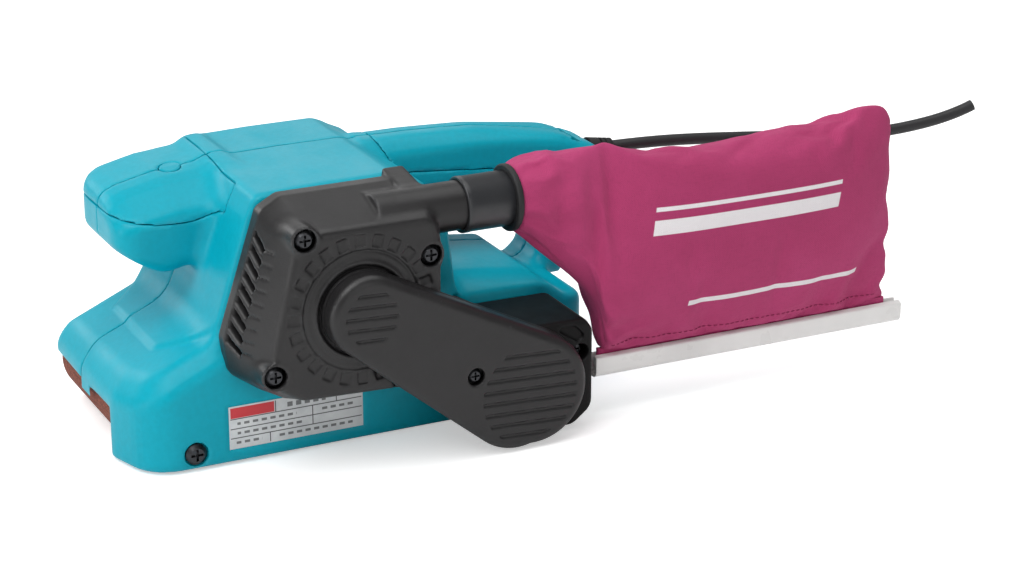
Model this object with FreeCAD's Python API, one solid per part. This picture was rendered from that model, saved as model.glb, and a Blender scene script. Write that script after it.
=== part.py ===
import FreeCAD, Part
import math
import os

# Handheld belt sander with a cloth dust bag.
# Origin: on the sanding belt's flat working face, midway across the belt, near the middle of
# its flat run. +X is the machine's left side (fan housing, belt cover), +Y is the rear
# (handle, bag, cord), +Z is up. Lengths are in millimetres.

os.makedirs("parts", exist_ok=True)
Vector = FreeCAD.Vector

# ---- driving dimensions ----
BELT_W = 76.0            # sanding belt width
BELT_T = 1.0             # sanding belt thickness
BELT_LOOP = 457.0        # sanding belt loop length, at mid thickness
R_DRIVE = 26.0           # outer radius of the belt round the rear roller
R_IDLER = 21.0           # the same at the front roller
CENTRES = (BELT_LOOP - math.pi * (R_DRIVE + R_IDLER - BELT_T)) / 2.0
Y_MID = -1.9             # midway between the rollers

# Axes along X, as (y, z)
DRIVE = (Y_MID + CENTRES / 2.0, R_DRIVE)
IDLER = (Y_MID - CENTRES / 2.0, R_IDLER)
MOTOR = (-5.5, 77.0)
Y_MOTOR, Z_MOTOR = MOTOR

X_RIGHT = -42.0          # right flank of the shells
X_LEFT = 72.0            # left skirt flank
X_FAN_IN = 66.0          # joint between motor housing and fan housing
X_FAN_OUT = 104.0        # outer face of the fan housing
X_COVER = 116.0          # outer face of the belt cover
X_CAVITY = 40.4          # left end of the sanding belt's cavity
Y_FRONT = -104.8         # nose
Y_REAR = 130.0           # rear wall of the base
Z_SKIRT = 1.0            # ground clearance of the skirt
Y_SPLIT_GRIP = -38.0     # cross line between grip covers and motor block
Z_GRIP_LINE = 100.0      # horizontal joint round the front grip
Z_HANDLE_LINE = 101.0    # horizontal joint round the rear handle
HANDLE_HALF = 17.5       # half width of the rear handle
GAP = 0.1                # gap between shells at a parting line
RUN = 0.03               # radial gap between a bearing and its shaft

PORT = (88.0, 113.0)     # (x, z) of the dust outlet tube, which lies along Y
X_PORT, Z_PORT = PORT
R_PORT = 11.5            # outer radius of the outlet tube
Y_PORT_END = 72.0

# Unit vectors out of a screw head
TO_LEFT, TO_RIGHT, TO_TOP = Vector(1, 0, 0), Vector(-1, 0, 0), Vector(0, 0, 1)


# ---- helpers ----
def box(x0, x1, y0, y1, z0, z1):
    return Part.makeBox(x1 - x0, y1 - y0, z1 - z0, Vector(x0, y0, z0))


def cyl_x(y, z, radius, x0, x1):
    return Part.makeCylinder(radius, x1 - x0, Vector(x0, y, z), Vector(1, 0, 0))


def cyl_y(x, z, radius, y0, y1):
    return Part.makeCylinder(radius, y1 - y0, Vector(x, y0, z), Vector(0, 1, 0))


def cyl_z(x, y, radius, z0, z1):
    return Part.makeCylinder(radius, z1 - z0, Vector(x, y, z0), Vector(0, 0, 1))


def ring_x(y, z, outer, inner, x0, x1):
    return cyl_x(y, z, outer, x0, x1).cut(cyl_x(y, z, inner, x0 - 1, x1 + 1))


def turn_x(shape, y, z, degrees):
    """Rotate the shape in place about the X-parallel axis through (y, z)."""
    shape.rotate(Vector(0, y, z), Vector(1, 0, 0), degrees)
    return shape


def around(centre, radius, i, count):
    """(y, z) of place i of count evenly spaced places on a circle."""
    angle = 2 * math.pi * i / count
    return centre[0] + radius * math.cos(angle), centre[1] + radius * math.sin(angle)


def fuse(first, *others):
    shape = first
    for other in others:
        shape = shape.fuse(other)
    return shape.removeSplitter()


def cut(first, *others):
    shape = first
    for other in others:
        shape = shape.cut(other)
    return shape


def in_space(plane, point, level):
    first, second = point
    if plane == "yz":
        return Vector(level, first, second)
    if plane == "xy":
        return Vector(first, second, level)
    return Vector(first, level, second)  # xz


def corner(before, tip, after, radius):
    """Start, middle and end of a corner's arc; the middle is None where it stays sharp."""
    back = (before[0] - tip[0], before[1] - tip[1])
    ahead = (after[0] - tip[0], after[1] - tip[1])
    len_back, len_ahead = math.hypot(*back), math.hypot(*ahead)
    back = (back[0] / len_back, back[1] / len_back)
    ahead = (ahead[0] / len_ahead, ahead[1] / len_ahead)
    angle = math.acos(max(-1.0, min(1.0, back[0] * ahead[0] + back[1] * ahead[1])))
    if radius <= 0 or angle > math.pi - 0.01:
        return tip, None, tip
    # The arc takes at most 49 % of either neighbouring side.
    reach = min(radius / math.tan(angle / 2), len_back * 0.49, len_ahead * 0.49)
    radius = reach * math.tan(angle / 2)
    bisector = (back[0] + ahead[0], back[1] + ahead[1])
    length = math.hypot(*bisector)
    to_arc = radius / math.sin(angle / 2) - radius
    return ((tip[0] + back[0] * reach, tip[1] + back[1] * reach),
            (tip[0] + bisector[0] / length * to_arc, tip[1] + bisector[1] / length * to_arc),
            (tip[0] + ahead[0] * reach, tip[1] + ahead[1] * reach))


def outline(plane, points, level):
    """Closed polygon; each point is (a, b) or (a, b, corner radius)."""
    count = len(points)
    corners = []
    for i, point in enumerate(points):
        radius = point[2] if len(point) > 2 else 0.0
        corners.append(corner(points[i - 1][:2], point[:2], points[(i + 1) % count][:2], radius))
    edges = []
    for i, (start, middle, end) in enumerate(corners):
        if middle is not None:
            edges.append(Part.Arc(in_space(plane, start, level), in_space(plane, middle, level),
                                  in_space(plane, end, level)).toShape())
        following = corners[(i + 1) % count][0]
        if math.hypot(following[0] - end[0], following[1] - end[1]) > 1e-6:
            edges.append(Part.makeLine(in_space(plane, end, level),
                                       in_space(plane, following, level)))
    return Part.Wire(edges)


def prism(plane, points, start, end):
    face = Part.Face(outline(plane, points, start))
    return face.extrude(in_space(plane, (0, 0), end - start))


def loft(wires):
    return Part.makeLoft(wires, True, True)


def belt_hull(centre1, radius1, centre2, radius2, x0, x1):
    """Solid bounded by two circles and their outer tangents."""
    dy, dz = centre2[0] - centre1[0], centre2[1] - centre1[1]
    base = math.atan2(dz, dy)
    offset = math.acos((radius1 - radius2) / math.hypot(dy, dz))
    upper, lower = base + offset, base - offset

    def rim(centre, radius, angle):
        return Vector(x0, centre[0] + radius * math.cos(angle),
                      centre[1] + radius * math.sin(angle))

    up1, up2 = rim(centre1, radius1, upper), rim(centre2, radius2, upper)
    low1, low2 = rim(centre1, radius1, lower), rim(centre2, radius2, lower)
    edges = [Part.makeLine(up1, up2),
             Part.Arc(up2, rim(centre2, radius2, base), low2).toShape(),
             Part.makeLine(low2, low1),
             Part.Arc(low1, rim(centre1, radius1, base + math.pi), up1).toShape()]
    return Part.Face(Part.Wire(edges)).extrude(Vector(x1 - x0, 0, 0))


def screw(x, y, z, out, head_r, head_h, shank_r, length):
    """Pan-head cross-recess screw; (x, y, z) is under the head, out points out of it."""
    seat = Vector(x, y, z)
    head = Part.makeCylinder(head_r, head_h * 0.55, seat, out)
    dome = Part.makeCone(head_r, head_r * 0.66, head_h * 0.45, seat + out * (head_h * 0.55), out)
    shank = Part.makeCylinder(shank_r, length, seat - out * length, out)
    shape = head.fuse(dome).fuse(shank)
    slot_w, slot_l, depth = head_r * 0.24, head_r * 1.15, head_h * 0.6
    side = Vector(0, 0, 1) if abs(out.z) < 0.5 else Vector(1, 0, 0)
    other = out.cross(side)
    for along, across in ((side, other), (other, side)):
        start = seat + out * (head_h - depth) - along * (slot_l / 2) - across * (slot_w / 2)
        slot = Part.makePolygon([start, start + along * slot_l,
                                 start + along * slot_l + across * slot_w,
                                 start + across * slot_w, start])
        shape = shape.cut(Part.Face(slot).extrude(out * (depth + 1)))
    return shape.removeSplitter()


parts = {}
group = Part.makeCompound


# ---- sanding belt ----
def belt_loop(shrink, x0, x1):
    return belt_hull(DRIVE, R_DRIVE - shrink, IDLER, R_IDLER - shrink, x0, x1)


parts["abrasive_belt"] = belt_loop(0, -BELT_W / 2, BELT_W / 2).cut(
    belt_loop(BELT_T, -BELT_W / 2 - 1, BELT_W / 2 + 1))

# ---- toothed belt and pulleys ----
DRIVE_PULLEY_R, MOTOR_PULLEY_R = 18.5, 8.6
DRIVE_TEETH, MOTOR_TEETH = 34, 16
X_TOOTHED0, X_TOOTHED1 = 105.6, 111.6     # toothed belt, across its width
TOOTH_DEPTH = 1.1
SHAFT_R = 5.0            # drive shaft
ARMATURE_R = 4.0         # armature shaft at its ends
ARMATURE_MID_R = 5.5     # its thicker middle


def toothed_loop(extra, x0, x1):
    return belt_hull(DRIVE, DRIVE_PULLEY_R + extra, MOTOR, MOTOR_PULLEY_R + extra, x0, x1)


def toothed_wheel(centre, radius, teeth):
    y, z = centre
    x0, x1 = X_TOOTHED0 + 0.2, X_TOOTHED1 - 0.2
    width = math.pi * radius / teeth * 0.92
    grooves = []
    for i in range(teeth):
        groove = Part.makeBox(x1 - x0 + 2, width, TOOTH_DEPTH + 1,
                              Vector(x0 - 1, y - width / 2, z + radius - TOOTH_DEPTH))
        grooves.append(turn_x(groove, y, z, 360.0 * i / teeth))
    return cyl_x(y, z, radius, x0, x1).cut(group(grooves))


def drive_pulley():
    wheel = toothed_wheel(DRIVE, DRIVE_PULLEY_R, DRIVE_TEETH)
    hub_face = cyl_x(*DRIVE, DRIVE_PULLEY_R - 1.3, X_TOOTHED0 - 0.4, X_TOOTHED0 + 0.3)
    return cut(fuse(wheel, hub_face), cyl_x(*DRIVE, SHAFT_R, 90, 120),
               ring_x(*DRIVE, 15.0, 8.5, X_TOOTHED1 - 2.2, X_TOOTHED1 + 2))


parts["timing_belt"] = toothed_loop(1.9, X_TOOTHED0, X_TOOTHED1).cut(
    toothed_loop(0.3, X_TOOTHED0 - 1, X_TOOTHED1 + 1))
parts["drive_pulley"] = drive_pulley()
parts["motor_pulley"] = toothed_wheel(MOTOR, MOTOR_PULLEY_R, MOTOR_TEETH).cut(
    cyl_x(*MOTOR, ARMATURE_R, 90, 120))

# ---- drive roller ----
SLEEVE_R = 23.3          # metal sleeve under the rubber
WEB_R = 20.0
ROLLER_X = (-35, 34)
DRIVE_BEARING_R = 13.0
parts["drive_shaft"] = fuse(cyl_x(*DRIVE, SHAFT_R, -30, 113.2),
                            cyl_x(*DRIVE, SHAFT_R + 1.5, 34.5, 40.0))
parts["drive_roller"] = fuse(ring_x(*DRIVE, SLEEVE_R, 19.5, *ROLLER_X),
                             ring_x(*DRIVE, WEB_R, SHAFT_R, -26, -20),
                             ring_x(*DRIVE, WEB_R, SHAFT_R, 18, 24),
                             ring_x(*DRIVE, 9.0, SHAFT_R, -26, 24))
parts["rubber_lagging"] = ring_x(*DRIVE, R_DRIVE - BELT_T - 0.25, SLEEVE_R, *ROLLER_X)
parts["drive_bearings"] = group([ring_x(*DRIVE, DRIVE_BEARING_R, SHAFT_R + RUN, x0, x0 + 7)
                                 for x0 in (41, 92)])

# ---- idler roller, yoke, carriage, spring ----
IDLER_TUBE_R = R_IDLER - BELT_T - 0.5
AXLE_R = 4.0
YOKE_X0, YOKE_X1 = 33.6, 36.6    # faces of a yoke arm
Y_YOKE = -51.0           # rear face of the yoke's cross plate
Y_PIN, PIN_R = -36, 3.0  # carriage pin through the yoke's tongue
Z_SPRING = 24            # spring and tongue centre height
Y_SPRING, SPRING_L = -21.4, 13.0
SPRING_PITCH, SPRING_R, SPRING_WIRE_R = 2.2, 3.9, 0.55


def idler_yoke():
    y, z = IDLER
    arm = [(y - 8, z - 8, 7), (y - 8, z + 8, 7), (-54, 33, 3),
           (Y_YOKE, 33), (Y_YOKE, 12), (-54, 12, 3)]
    yoke = fuse(prism("yz", arm, -YOKE_X1, -YOKE_X0), prism("yz", arm, YOKE_X0, YOKE_X1),
                box(-YOKE_X1, YOKE_X1, -55, Y_YOKE, 12, 33),
                box(-7, 7, Y_YOKE, -30, Z_SPRING - 4, Z_SPRING + 4))
    return cut(yoke, cyl_x(*IDLER, AXLE_R, -60, 60), cyl_z(0, Y_PIN, PIN_R + 0.05, 0, 60))


def idler_carriage():
    carriage = cut(box(-18, 18, -43.5, -16, 12.5, 36),
                   box(-19, 19, -44, -27, Z_SPRING - 4.1, Z_SPRING + 4.1),  # tongue slot
                   box(-19, -9, -44, -27, 10, 40), box(9, 19, -44, -27, 10, 40),
                   cyl_y(0, Z_SPRING, 5.2, -22, -10))                       # spring pocket
    return fuse(carriage, cyl_z(0, Y_PIN, PIN_R, 12.5, 36))


def tension_spring():
    path = Part.Wire(Part.makeHelix(SPRING_PITCH, SPRING_L, SPRING_R))
    section = Part.Wire([Part.makeCircle(SPRING_WIRE_R, Vector(SPRING_R, 0, 0),
                                         Vector(0, 1, 0))])
    spring = turn_x(path.makePipeShell([section], True, True), 0, 0, -90)
    spring.translate(Vector(0, Y_SPRING, Z_SPRING))
    return spring


parts["idler_roller"] = fuse(ring_x(*IDLER, IDLER_TUBE_R, IDLER_TUBE_R - 3.5, -33, 33),
                             ring_x(*IDLER, IDLER_TUBE_R - 3.0, AXLE_R + 0.06, -31, -23),
                             ring_x(*IDLER, IDLER_TUBE_R - 3.0, AXLE_R + 0.06, 23, 31))
parts["idler_axle"] = cyl_x(*IDLER, AXLE_R, -37, 37)
parts["idler_yoke"] = idler_yoke()
parts["idler_carriage"] = idler_carriage()
parts["tension_spring"] = tension_spring()

# ---- base frame, platen, tension lever ----
Y_SPRING_END = Y_SPRING + SPRING_L + 0.6
X_WALL = 40.6            # right face of the frame's side wall
Z_BEAM = 9.5             # top of the floor beam
PIVOT = (-37.2, -3.4)    # (x, y) of the lever's vertical pivot
PIVOT_R = 2.0
TRACKING = (-73.6, 8.4)  # (y, z) of the tracking screw, beside the front roller
PLATEN_SCREWS = [(x, y) for x in (-22, 22) for y in (-44, 43)]
PLATEN_XY = (-37.5, 37.5, -62, 60)
FRAME_WALL = [(-86, 5, 6), (-86, 38, 8), (-60, 44, 4), (96, 47, 6), (98, 5, 8)]  # y, z, radius
Y_PIVOT = PIVOT[1]
LEVER_ARM = [(Y_PIVOT, 20, 0), (Y_PIVOT, 32, 0), (30, 32, 5),                    # y, z, radius
             (36, 29, 3), (36, 23, 3), (30, 20, 5)]
LEVER_RECESS = [(8, 23, 2), (8, 29, 2), (27, 29, 2), (27, 23, 2)]


def base_frame():
    frame = fuse(prism("yz", FRAME_WALL, X_WALL, 45.6),
                 cyl_x(*DRIVE, DRIVE_BEARING_R + 4, X_WALL, 48.4),
                 box(-36, X_WALL, -49, 46, 5.2, Z_BEAM),
                 box(-36, X_WALL, Y_SPRING_END, 46, Z_BEAM, 38),
                 # rails on both sides of the carriage
                 box(18.1, X_WALL, -40, Y_SPRING_END, Z_BEAM, 36),
                 box(-36, -18.1, -40, Y_SPRING_END, Z_BEAM, 36))
    frame = cut(frame, cyl_x(*DRIVE, DRIVE_BEARING_R, 40.9, 49), cyl_x(*DRIVE, 8, 39, 50),
                box(-37, 30, 2, 40, 14, 34), box(-37, 30, 2, 40, 34, 39),
                cyl_x(*TRACKING, 2.1, 39, 47))
    # two lugs for the lever pivot on the frame's open right side
    frame = fuse(frame, box(-41.2, -35.9, -7.8, 0.8, 12, 18.4),
                 box(-41.2, -35.9, -7.8, 0.8, 33.6, 38))
    frame = cut(frame, cyl_z(*PIVOT, 4.7, 18.4, 33.6), cyl_z(*PIVOT, PIVOT_R, 10, 40))
    for place in PLATEN_SCREWS:
        frame = cut(frame, platen_hole(place), cyl_z(*place, 4.0, Z_BEAM, 16))
    return frame.cut(parts["lever_pivot"])


def platen_hole(place):
    return cyl_z(*place, 2.05, 3, 12)


def tension_lever():
    """Lever folded flat along the frame's right side."""
    lever = fuse(cyl_z(*PIVOT, 4.2, 18.7, 33.3), prism("yz", LEVER_ARM, -40.6, -37.4))
    return cut(lever, cyl_z(*PIVOT, PIVOT_R + 0.05, 10, 40),
               prism("yz", LEVER_RECESS, -42, -39.6))


parts["lever_pivot"] = cyl_z(*PIVOT, PIVOT_R, 11.5, 38.6)
parts["base_frame"] = base_frame()
parts["platen"] = cut(box(*PLATEN_XY, 3.3, 5.1), *map(platen_hole, PLATEN_SCREWS))
parts["cork_pad"] = box(*PLATEN_XY, BELT_T + 0.15, 3.2)
parts["platen_screws"] = group([screw(x, y, Z_BEAM + 0.1, TO_TOP, 3.6, 2.2, 2.0, 6.2)
                                for x, y in PLATEN_SCREWS])
parts["tension_lever"] = tension_lever()

# ---- motor ----
CORE_X = (-4, 36)        # armature core and stator, along X
MOTOR_BEARING_R = 11.0
CORE_SLOTS = 12
COOLING_BLADES, DUST_BLADES = 11, 8


def z_band(x0, x1, half):
    """Slab of the motor space within half of the armature axis height."""
    return box(x0, x1, -60, 60, Z_MOTOR - half, Z_MOTOR + half)


def armature_core():
    slots = [cyl_x(*around(MOTOR, 14.6, i, CORE_SLOTS), 1.1, -5, 37) for i in range(CORE_SLOTS)]
    return ring_x(*MOTOR, 16.5, ARMATURE_MID_R, *CORE_X).cut(group(slots))


def cooling_fan():
    pieces = [ring_x(*MOTOR, 23.6, ARMATURE_MID_R, 50, 51.5)]
    for i in range(COOLING_BLADES):
        blade = box(50.5, 60, Y_MOTOR - 0.7, Y_MOTOR + 0.7, Z_MOTOR + 10, Z_MOTOR + 23.2)
        pieces.append(turn_x(blade, *MOTOR, i * 360.0 / COOLING_BLADES))
    return fuse(*pieces)


def dust_fan():
    pieces = [fuse(ring_x(*MOTOR, 29, ARMATURE_R, 76, 77.8), ring_x(*MOTOR, 8, ARMATURE_R, 76, 90))]
    for i in range(DUST_BLADES):
        blade = box(77, 91, Y_MOTOR - 0.9, Y_MOTOR + 0.9, Z_MOTOR + 9, Z_MOTOR + 28.5)
        turn_x(blade, Y_MOTOR, Z_MOTOR + 18, 25)      # blade pitch
        pieces.append(turn_x(blade, *MOTOR, i * 360.0 / DUST_BLADES))
    return fuse(*pieces)


def stator_core():
    body = cyl_x(*MOTOR, 31, *CORE_X).common(z_band(-5, 37, 24))
    return cut(body, cyl_x(*MOTOR, 17.0, -5, 37),
               cyl_x(*MOTOR, 24.5, -5, 37).common(z_band(-5, 37, 9)))


def field_coils():
    coils = []
    for y0, y1 in ((-25, -17.0), (17.0, 25)):
        tube = cyl_x(*MOTOR, 24, -12, 44).cut(cyl_x(*MOTOR, 17.4, -13, 45))
        coils.append(tube.common(box(-13, 45, Y_MOTOR + y0, Y_MOTOR + y1,
                                     Z_MOTOR - 8.6, Z_MOTOR + 8.6)))
    return group(coils)


def brush_gear():
    holders, brushes = [], []
    for side in (-1, 1):
        y0, y1 = sorted((Y_MOTOR + side * 12.5, Y_MOTOR + side * 30))
        holder = box(-24, -14, y0, y1, Z_MOTOR - 5.5, Z_MOTOR + 5.5)
        holders.append(holder.cut(
            box(-22.0, -16.0, y0 - 1, y1 + 1, Z_MOTOR - 3.5, Z_MOTOR + 3.5)))
        y0, y1 = sorted((Y_MOTOR + side * 11.3, Y_MOTOR + side * 25))
        brushes.append(box(-21.9, -16.1, y0, y1, Z_MOTOR - 3.4, Z_MOTOR + 3.4))
    return group(holders), group(brushes)


parts["armature_shaft"] = fuse(cyl_x(*MOTOR, ARMATURE_R, -38, 112.6),
                               cyl_x(*MOTOR, ARMATURE_MID_R, -8, 67))
parts["armature_core"] = armature_core()
parts["commutator"] = ring_x(*MOTOR, 11.0, ARMATURE_R, -26, -12)
parts["cooling_fan"] = cooling_fan()
parts["dust_fan"] = dust_fan()
parts["motor_bearings"] = group([
    ring_x(*MOTOR, MOTOR_BEARING_R, ARMATURE_R + RUN, -37, -30),
    ring_x(*MOTOR, MOTOR_BEARING_R, ARMATURE_MID_R + RUN, 61.8, 66.1),
    ring_x(*MOTOR, MOTOR_BEARING_R, ARMATURE_R + RUN, 96, 102)])
parts["stator_core"] = stator_core()
parts["field_coils"] = field_coils()
parts["brush_holders"], parts["carbon_brushes"] = brush_gear()

# ---- fan housing with outlet tube, baffle ----
X_FLANGE = 76            # outer face of the housing's flange
FAN_SCREWS = [(-31.0, 112.6), (-46.5, 51.8), (28.6, 97.0), (14.0, 41.0)]  # y, z
X_FAN_SEAT = X_FAN_OUT - 4.4     # under the screw heads
# y, z, corner radius
FLANGE = [(-41, 119, 5), (-22, 124.5, 6), (34, 122, 6), (34, 38, 4),
          (20, 33, 8), (-42, 34.5, 8), (-59, 47, 7), (-60, 62, 6)]
# y, z of the tapered body's ends, outside and inside
BODY_ROOT = [(-41, 119), (-22, 124.5), (34, 122), (34, 58), (20, 33), (-42, 34.5), (-59, 47)]
BODY_FACE = [(-33, 116.9), (-20, 117), (34, 114.5), (34, 58), (20, 36), (-36, 37.5), (-49, 48)]
HOLLOW_ROOT = [(-37, 112), (-20, 120), (30, 118), (30, 60), (17, 38), (-38, 39), (-54, 51)]
HOLLOW_FACE = [(-31, 109), (-18, 112.5), (29, 110.5), (29, 60), (17, 40.5), (-33, 42), (-44, 52)]


def flange_prism(inset, x0, x1):
    points = [(y - math.copysign(inset, y - Y_MOTOR), z - math.copysign(inset, z - Z_MOTOR), radius)
              for y, z, radius in FLANGE]
    return prism("yz", points, x0, x1)


def fan_housing():
    body = loft([outline("yz", BODY_ROOT, X_FLANGE), outline("yz", BODY_FACE, X_FAN_OUT)])
    fan = fuse(flange_prism(0, X_FAN_IN + GAP, X_FLANGE), body)
    fan = fuse(fan, cyl_y(*PORT, R_PORT, 8, Y_PORT_END),
               box(X_PORT - R_PORT, X_PORT + R_PORT, 10, 34, 96, Z_PORT))
    hollow = loft([outline("yz", HOLLOW_ROOT, X_FLANGE + 1),
                   outline("yz", HOLLOW_FACE, X_FAN_OUT - 4)])
    hollow = fuse(flange_prism(4, X_FAN_IN - 1, X_FLANGE + 1), hollow)
    fan = cut(fan, hollow, cyl_y(*PORT, R_PORT - 2.0, 14, Y_PORT_END + 1))
    # outer bearing seat
    fan = fuse(fan, ring_x(*MOTOR, MOTOR_BEARING_R + 3, MOTOR_BEARING_R, 94, X_FAN_OUT))
    fan = cut(fan, cyl_x(*MOTOR, MOTOR_BEARING_R, 94, 102), cyl_x(*MOTOR, 6.0, 90, 110))
    # ring of 24 shallow recesses round a groove in the outer face
    recesses = []
    for i in range(24):
        recess = Part.makeBox(1.2, 4.6, 5.0,
                              Vector(X_FAN_OUT - 0.7, Y_MOTOR - 2.3, Z_MOTOR + 29.3))
        recesses.append(turn_x(recess, *MOTOR, 15.0 * i))
    fan = cut(fan, group(recesses), ring_x(*MOTOR, 26.6, 25.6, X_FAN_OUT - 0.8, X_FAN_OUT + 1))
    # nine vent slots in the front face
    slots = []
    for i in range(9):
        z = 62.5 + i * 5.6
        slots.append(box(71.5, 87.0, -75, -30, z, z + 2.7))
    fan = cut(fan, group(slots))
    for place in FAN_SCREWS:
        fan = cut(fan, cyl_x(*place, 5.0, X_FAN_OUT - 4.5, X_FAN_OUT + 1))
        fan = fuse(fan, cyl_x(*place, 5.8, X_FAN_IN + 1.0, X_FAN_SEAT))
        fan = cut(fan, cyl_x(*place, 2.1, X_FAN_IN - 2, X_FAN_OUT))
    return fan


parts["fan_housing"] = fan_housing()
parts["fan_baffle"] = fuse(ring_x(*MOTOR, 35.5, 6.5, 66.1, 68.6),
                           ring_x(*MOTOR, 14.5, MOTOR_BEARING_R, 62.0, 66.2)
                           ).cut(parts["fan_housing"])
parts["fan_housing_screws"] = group([screw(X_FAN_SEAT, y, z, TO_LEFT, 4.6, 3.4, 2.0, 52)
                                     for y, z in FAN_SCREWS])

# ---- belt case on the inboard side of the cover, belt cover ----
CASE_SCREWS = [(103.0, 38.0), (54.0, 54.0)]      # y, z
COVER_SCREW = (44.5, 40.5)                       # y, z
COVER_REAR = (74.5, 28.4)                        # y, z of the cover's rear rounding
# y, z, corner radius
CASE = [(34.2, 44, 2), (34.2, 60, 3), (60, 60, 4), (104, 58.5, 12), (110, 44, 10),
        (110, 12, 12), (96, 2.2, 10), (60, 2.2, 10), (40, 20, 10)]
CASE_FRONT = [(30, 36, 4), (34.2, 60, 4), (60, 60, 4), (60, 14, 4), (50, 14, 4)]
CASE_HOLLOW = [(38, 24, 4), (38, 56, 3), (100, 55, 10), (106, 43, 8),
               (106, 14, 10), (94, 6, 8), (60, 6, 8), (50, 14, 4)]
# inset, start and end before the outer face: the cover's stepped edge
COVER_STEPS = [(0, X_COVER - X_FAN_OUT - GAP, 3.0), (1.0, 3.0, 1.6), (2.4, 1.6, 0.5),
               (4.0, 0.5, 0.0)]


def belt_case():
    fan = parts["fan_housing"]
    case = fuse(prism("yz", CASE, 62.0, X_FAN_OUT), prism("yz", CASE_FRONT, 76.0, X_FAN_OUT))
    case = cut(case, prism("yz", CASE_HOLLOW, 65.0, X_FAN_OUT - 3.0))
    case = fuse(case, ring_x(*DRIVE, DRIVE_BEARING_R + 3, DRIVE_BEARING_R, 89, X_FAN_OUT - 3.0))
    case = cut(case, cyl_x(*DRIVE, DRIVE_BEARING_R, 91.9, 99.1), cyl_x(*DRIVE, 7.0, 60, 110), fan)
    for place in CASE_SCREWS:
        case = fuse(case, cyl_x(*place, 5.0, 64, X_FAN_OUT))
        case = cut(case, cyl_x(*place, 2.1, 50, X_FAN_OUT + 1),
                   cyl_x(*place, 4.2, X_FAN_OUT - 8, X_FAN_OUT + 1))
    case = cut(case, fan, cyl_x(*COVER_SCREW, 2.1, 90, X_FAN_OUT + 1))
    return fuse(case, ring_x(*COVER_SCREW, 4.0, 2.1, 94, X_FAN_OUT))


def cover_hull(inset, x0, x1):
    return belt_hull(COVER_REAR, 27.0 - inset, MOTOR, 19.5 - inset, x0, x1)


def disc_grooves(y, z, radius, count, pitch):
    """Shallow horizontal grooves that fill a disc on the cover's outer face."""
    grooves = []
    for i in range(count):
        rise = (i - count // 2) * pitch
        half = math.sqrt(radius ** 2 - rise ** 2)
        grooves.append(box(X_COVER - 0.7, X_COVER + 1, y - half, y + half,
                           z + rise - 0.7, z + rise + 0.7))
    return grooves


def belt_cover():
    cover = fuse(*[cover_hull(inset, X_COVER - start, X_COVER - end)
                   for inset, start, end in COVER_STEPS])
    cover = cut(cover, cover_hull(2.4, X_FAN_OUT - 1, X_COVER - 2.6))
    cover = cut(cover, group(disc_grooves(*MOTOR, 12.5, 7, 4.0)
                             + disc_grooves(72.3, 27.4, 22.0, 11, 4.1)))
    cover = fuse(cover, cyl_x(*COVER_SCREW, 4.6, X_FAN_OUT + GAP, X_COVER - 2.0))
    return cut(cover, cyl_x(*COVER_SCREW, 3.6, X_COVER - 4.0, X_COVER + 1),
               cyl_x(*COVER_SCREW, 2.1, X_FAN_OUT - 5, X_COVER))


parts["belt_case"] = belt_case()
parts["belt_cover"] = belt_cover()
parts["cover_screw"] = screw(X_COVER - 4.0, *COVER_SCREW, TO_LEFT, 3.5, 2.4, 2.0, 14)
parts["case_screws"] = group([screw(X_FAN_OUT - 8, y, z, TO_LEFT, 3.9, 2.6, 2.0, 40)
                              for y, z in CASE_SCREWS])

# ---- mains cord, guard and clamp ----
CORD_R = 2.9
# x, y, z along the cord, from inside the handle to its cut end
CORD_POINTS = [(0, 142, 100), (0, 166, 99.5), (2, 200, 99), (4, 240, 96), (6, 280, 92),
               (9, 320, 89), (13, 348, 91), (16, 368, 95), (18, 379, 99)]


def cord():
    curve = Part.BSplineCurve()
    curve.interpolate([Vector(*point) for point in CORD_POINTS])
    spine = Part.Wire([curve.toShape()])
    start_dir = curve.tangent(curve.FirstParameter)[0]
    section = Part.Wire([Part.makeCircle(CORD_R, Vector(*CORD_POINTS[0]), start_dir)])
    return spine.makePipeShell([section], True, False)


def cord_guard():
    guard = Part.makeCone(6.0, 4.3, 13, Vector(0, 160.5, 99.6), Vector(0, 1, -0.02))
    grooves = [cyl_y(0, 99.4, 9, 166.4 + 2.6 * i, 167.5 + 2.6 * i).cut(
        cyl_y(0, 99.4, 4.1, 160, 200)) for i in range(3)]
    return cut(guard, parts["cord"], group(grooves))


parts["cord"] = cord()
parts["cord_guard"] = cord_guard()
parts["cord_clamp"] = box(-10, 10, 146, 150, 92, 99.8).cut(parts["cord"])
CORD_CUTS = [cyl_y(0, 99.6, 6.1, 150, 175), parts["cord"], parts["cord_clamp"]]

# ---- shell outlines, each as (first axis, second axis, corner radius) ----
BASE_SIDE = [(Y_FRONT, Z_SKIRT, 2), (Y_FRONT, 40, 22), (-79, 48.5, 12), (-55.5, 61.5, 8),
             (-40, 63), (100, 59, 8), (117, 51, 8), (Y_REAR, 50, 8), (Y_REAR, Z_SKIRT, 3)]
BASE_PLAN = [(X_RIGHT, Y_FRONT, 12), (X_LEFT, Y_FRONT, 28), (X_LEFT, 60, 2), (61.8, 60, 1),
             (61.8, Y_REAR, 14), (-14, Y_REAR, 10), (-14, 108), (X_RIGHT, 108, 9)]
BASE_SECTION = [(X_RIGHT, 0), (X_RIGHT, 64, 6), (50, 64, 6), (X_LEFT, 50, 5), (X_LEFT, 0)]
BLOCK_SIDE = [(-55.5, 40), (-55.5, 88, 8), (Y_SPLIT_GRIP, 92), (Y_SPLIT_GRIP, 123),
              (28, 124.5, 12), (49, 119, 5), (56, 92, 8), (60, 62, 8), (60, 40)]
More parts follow.
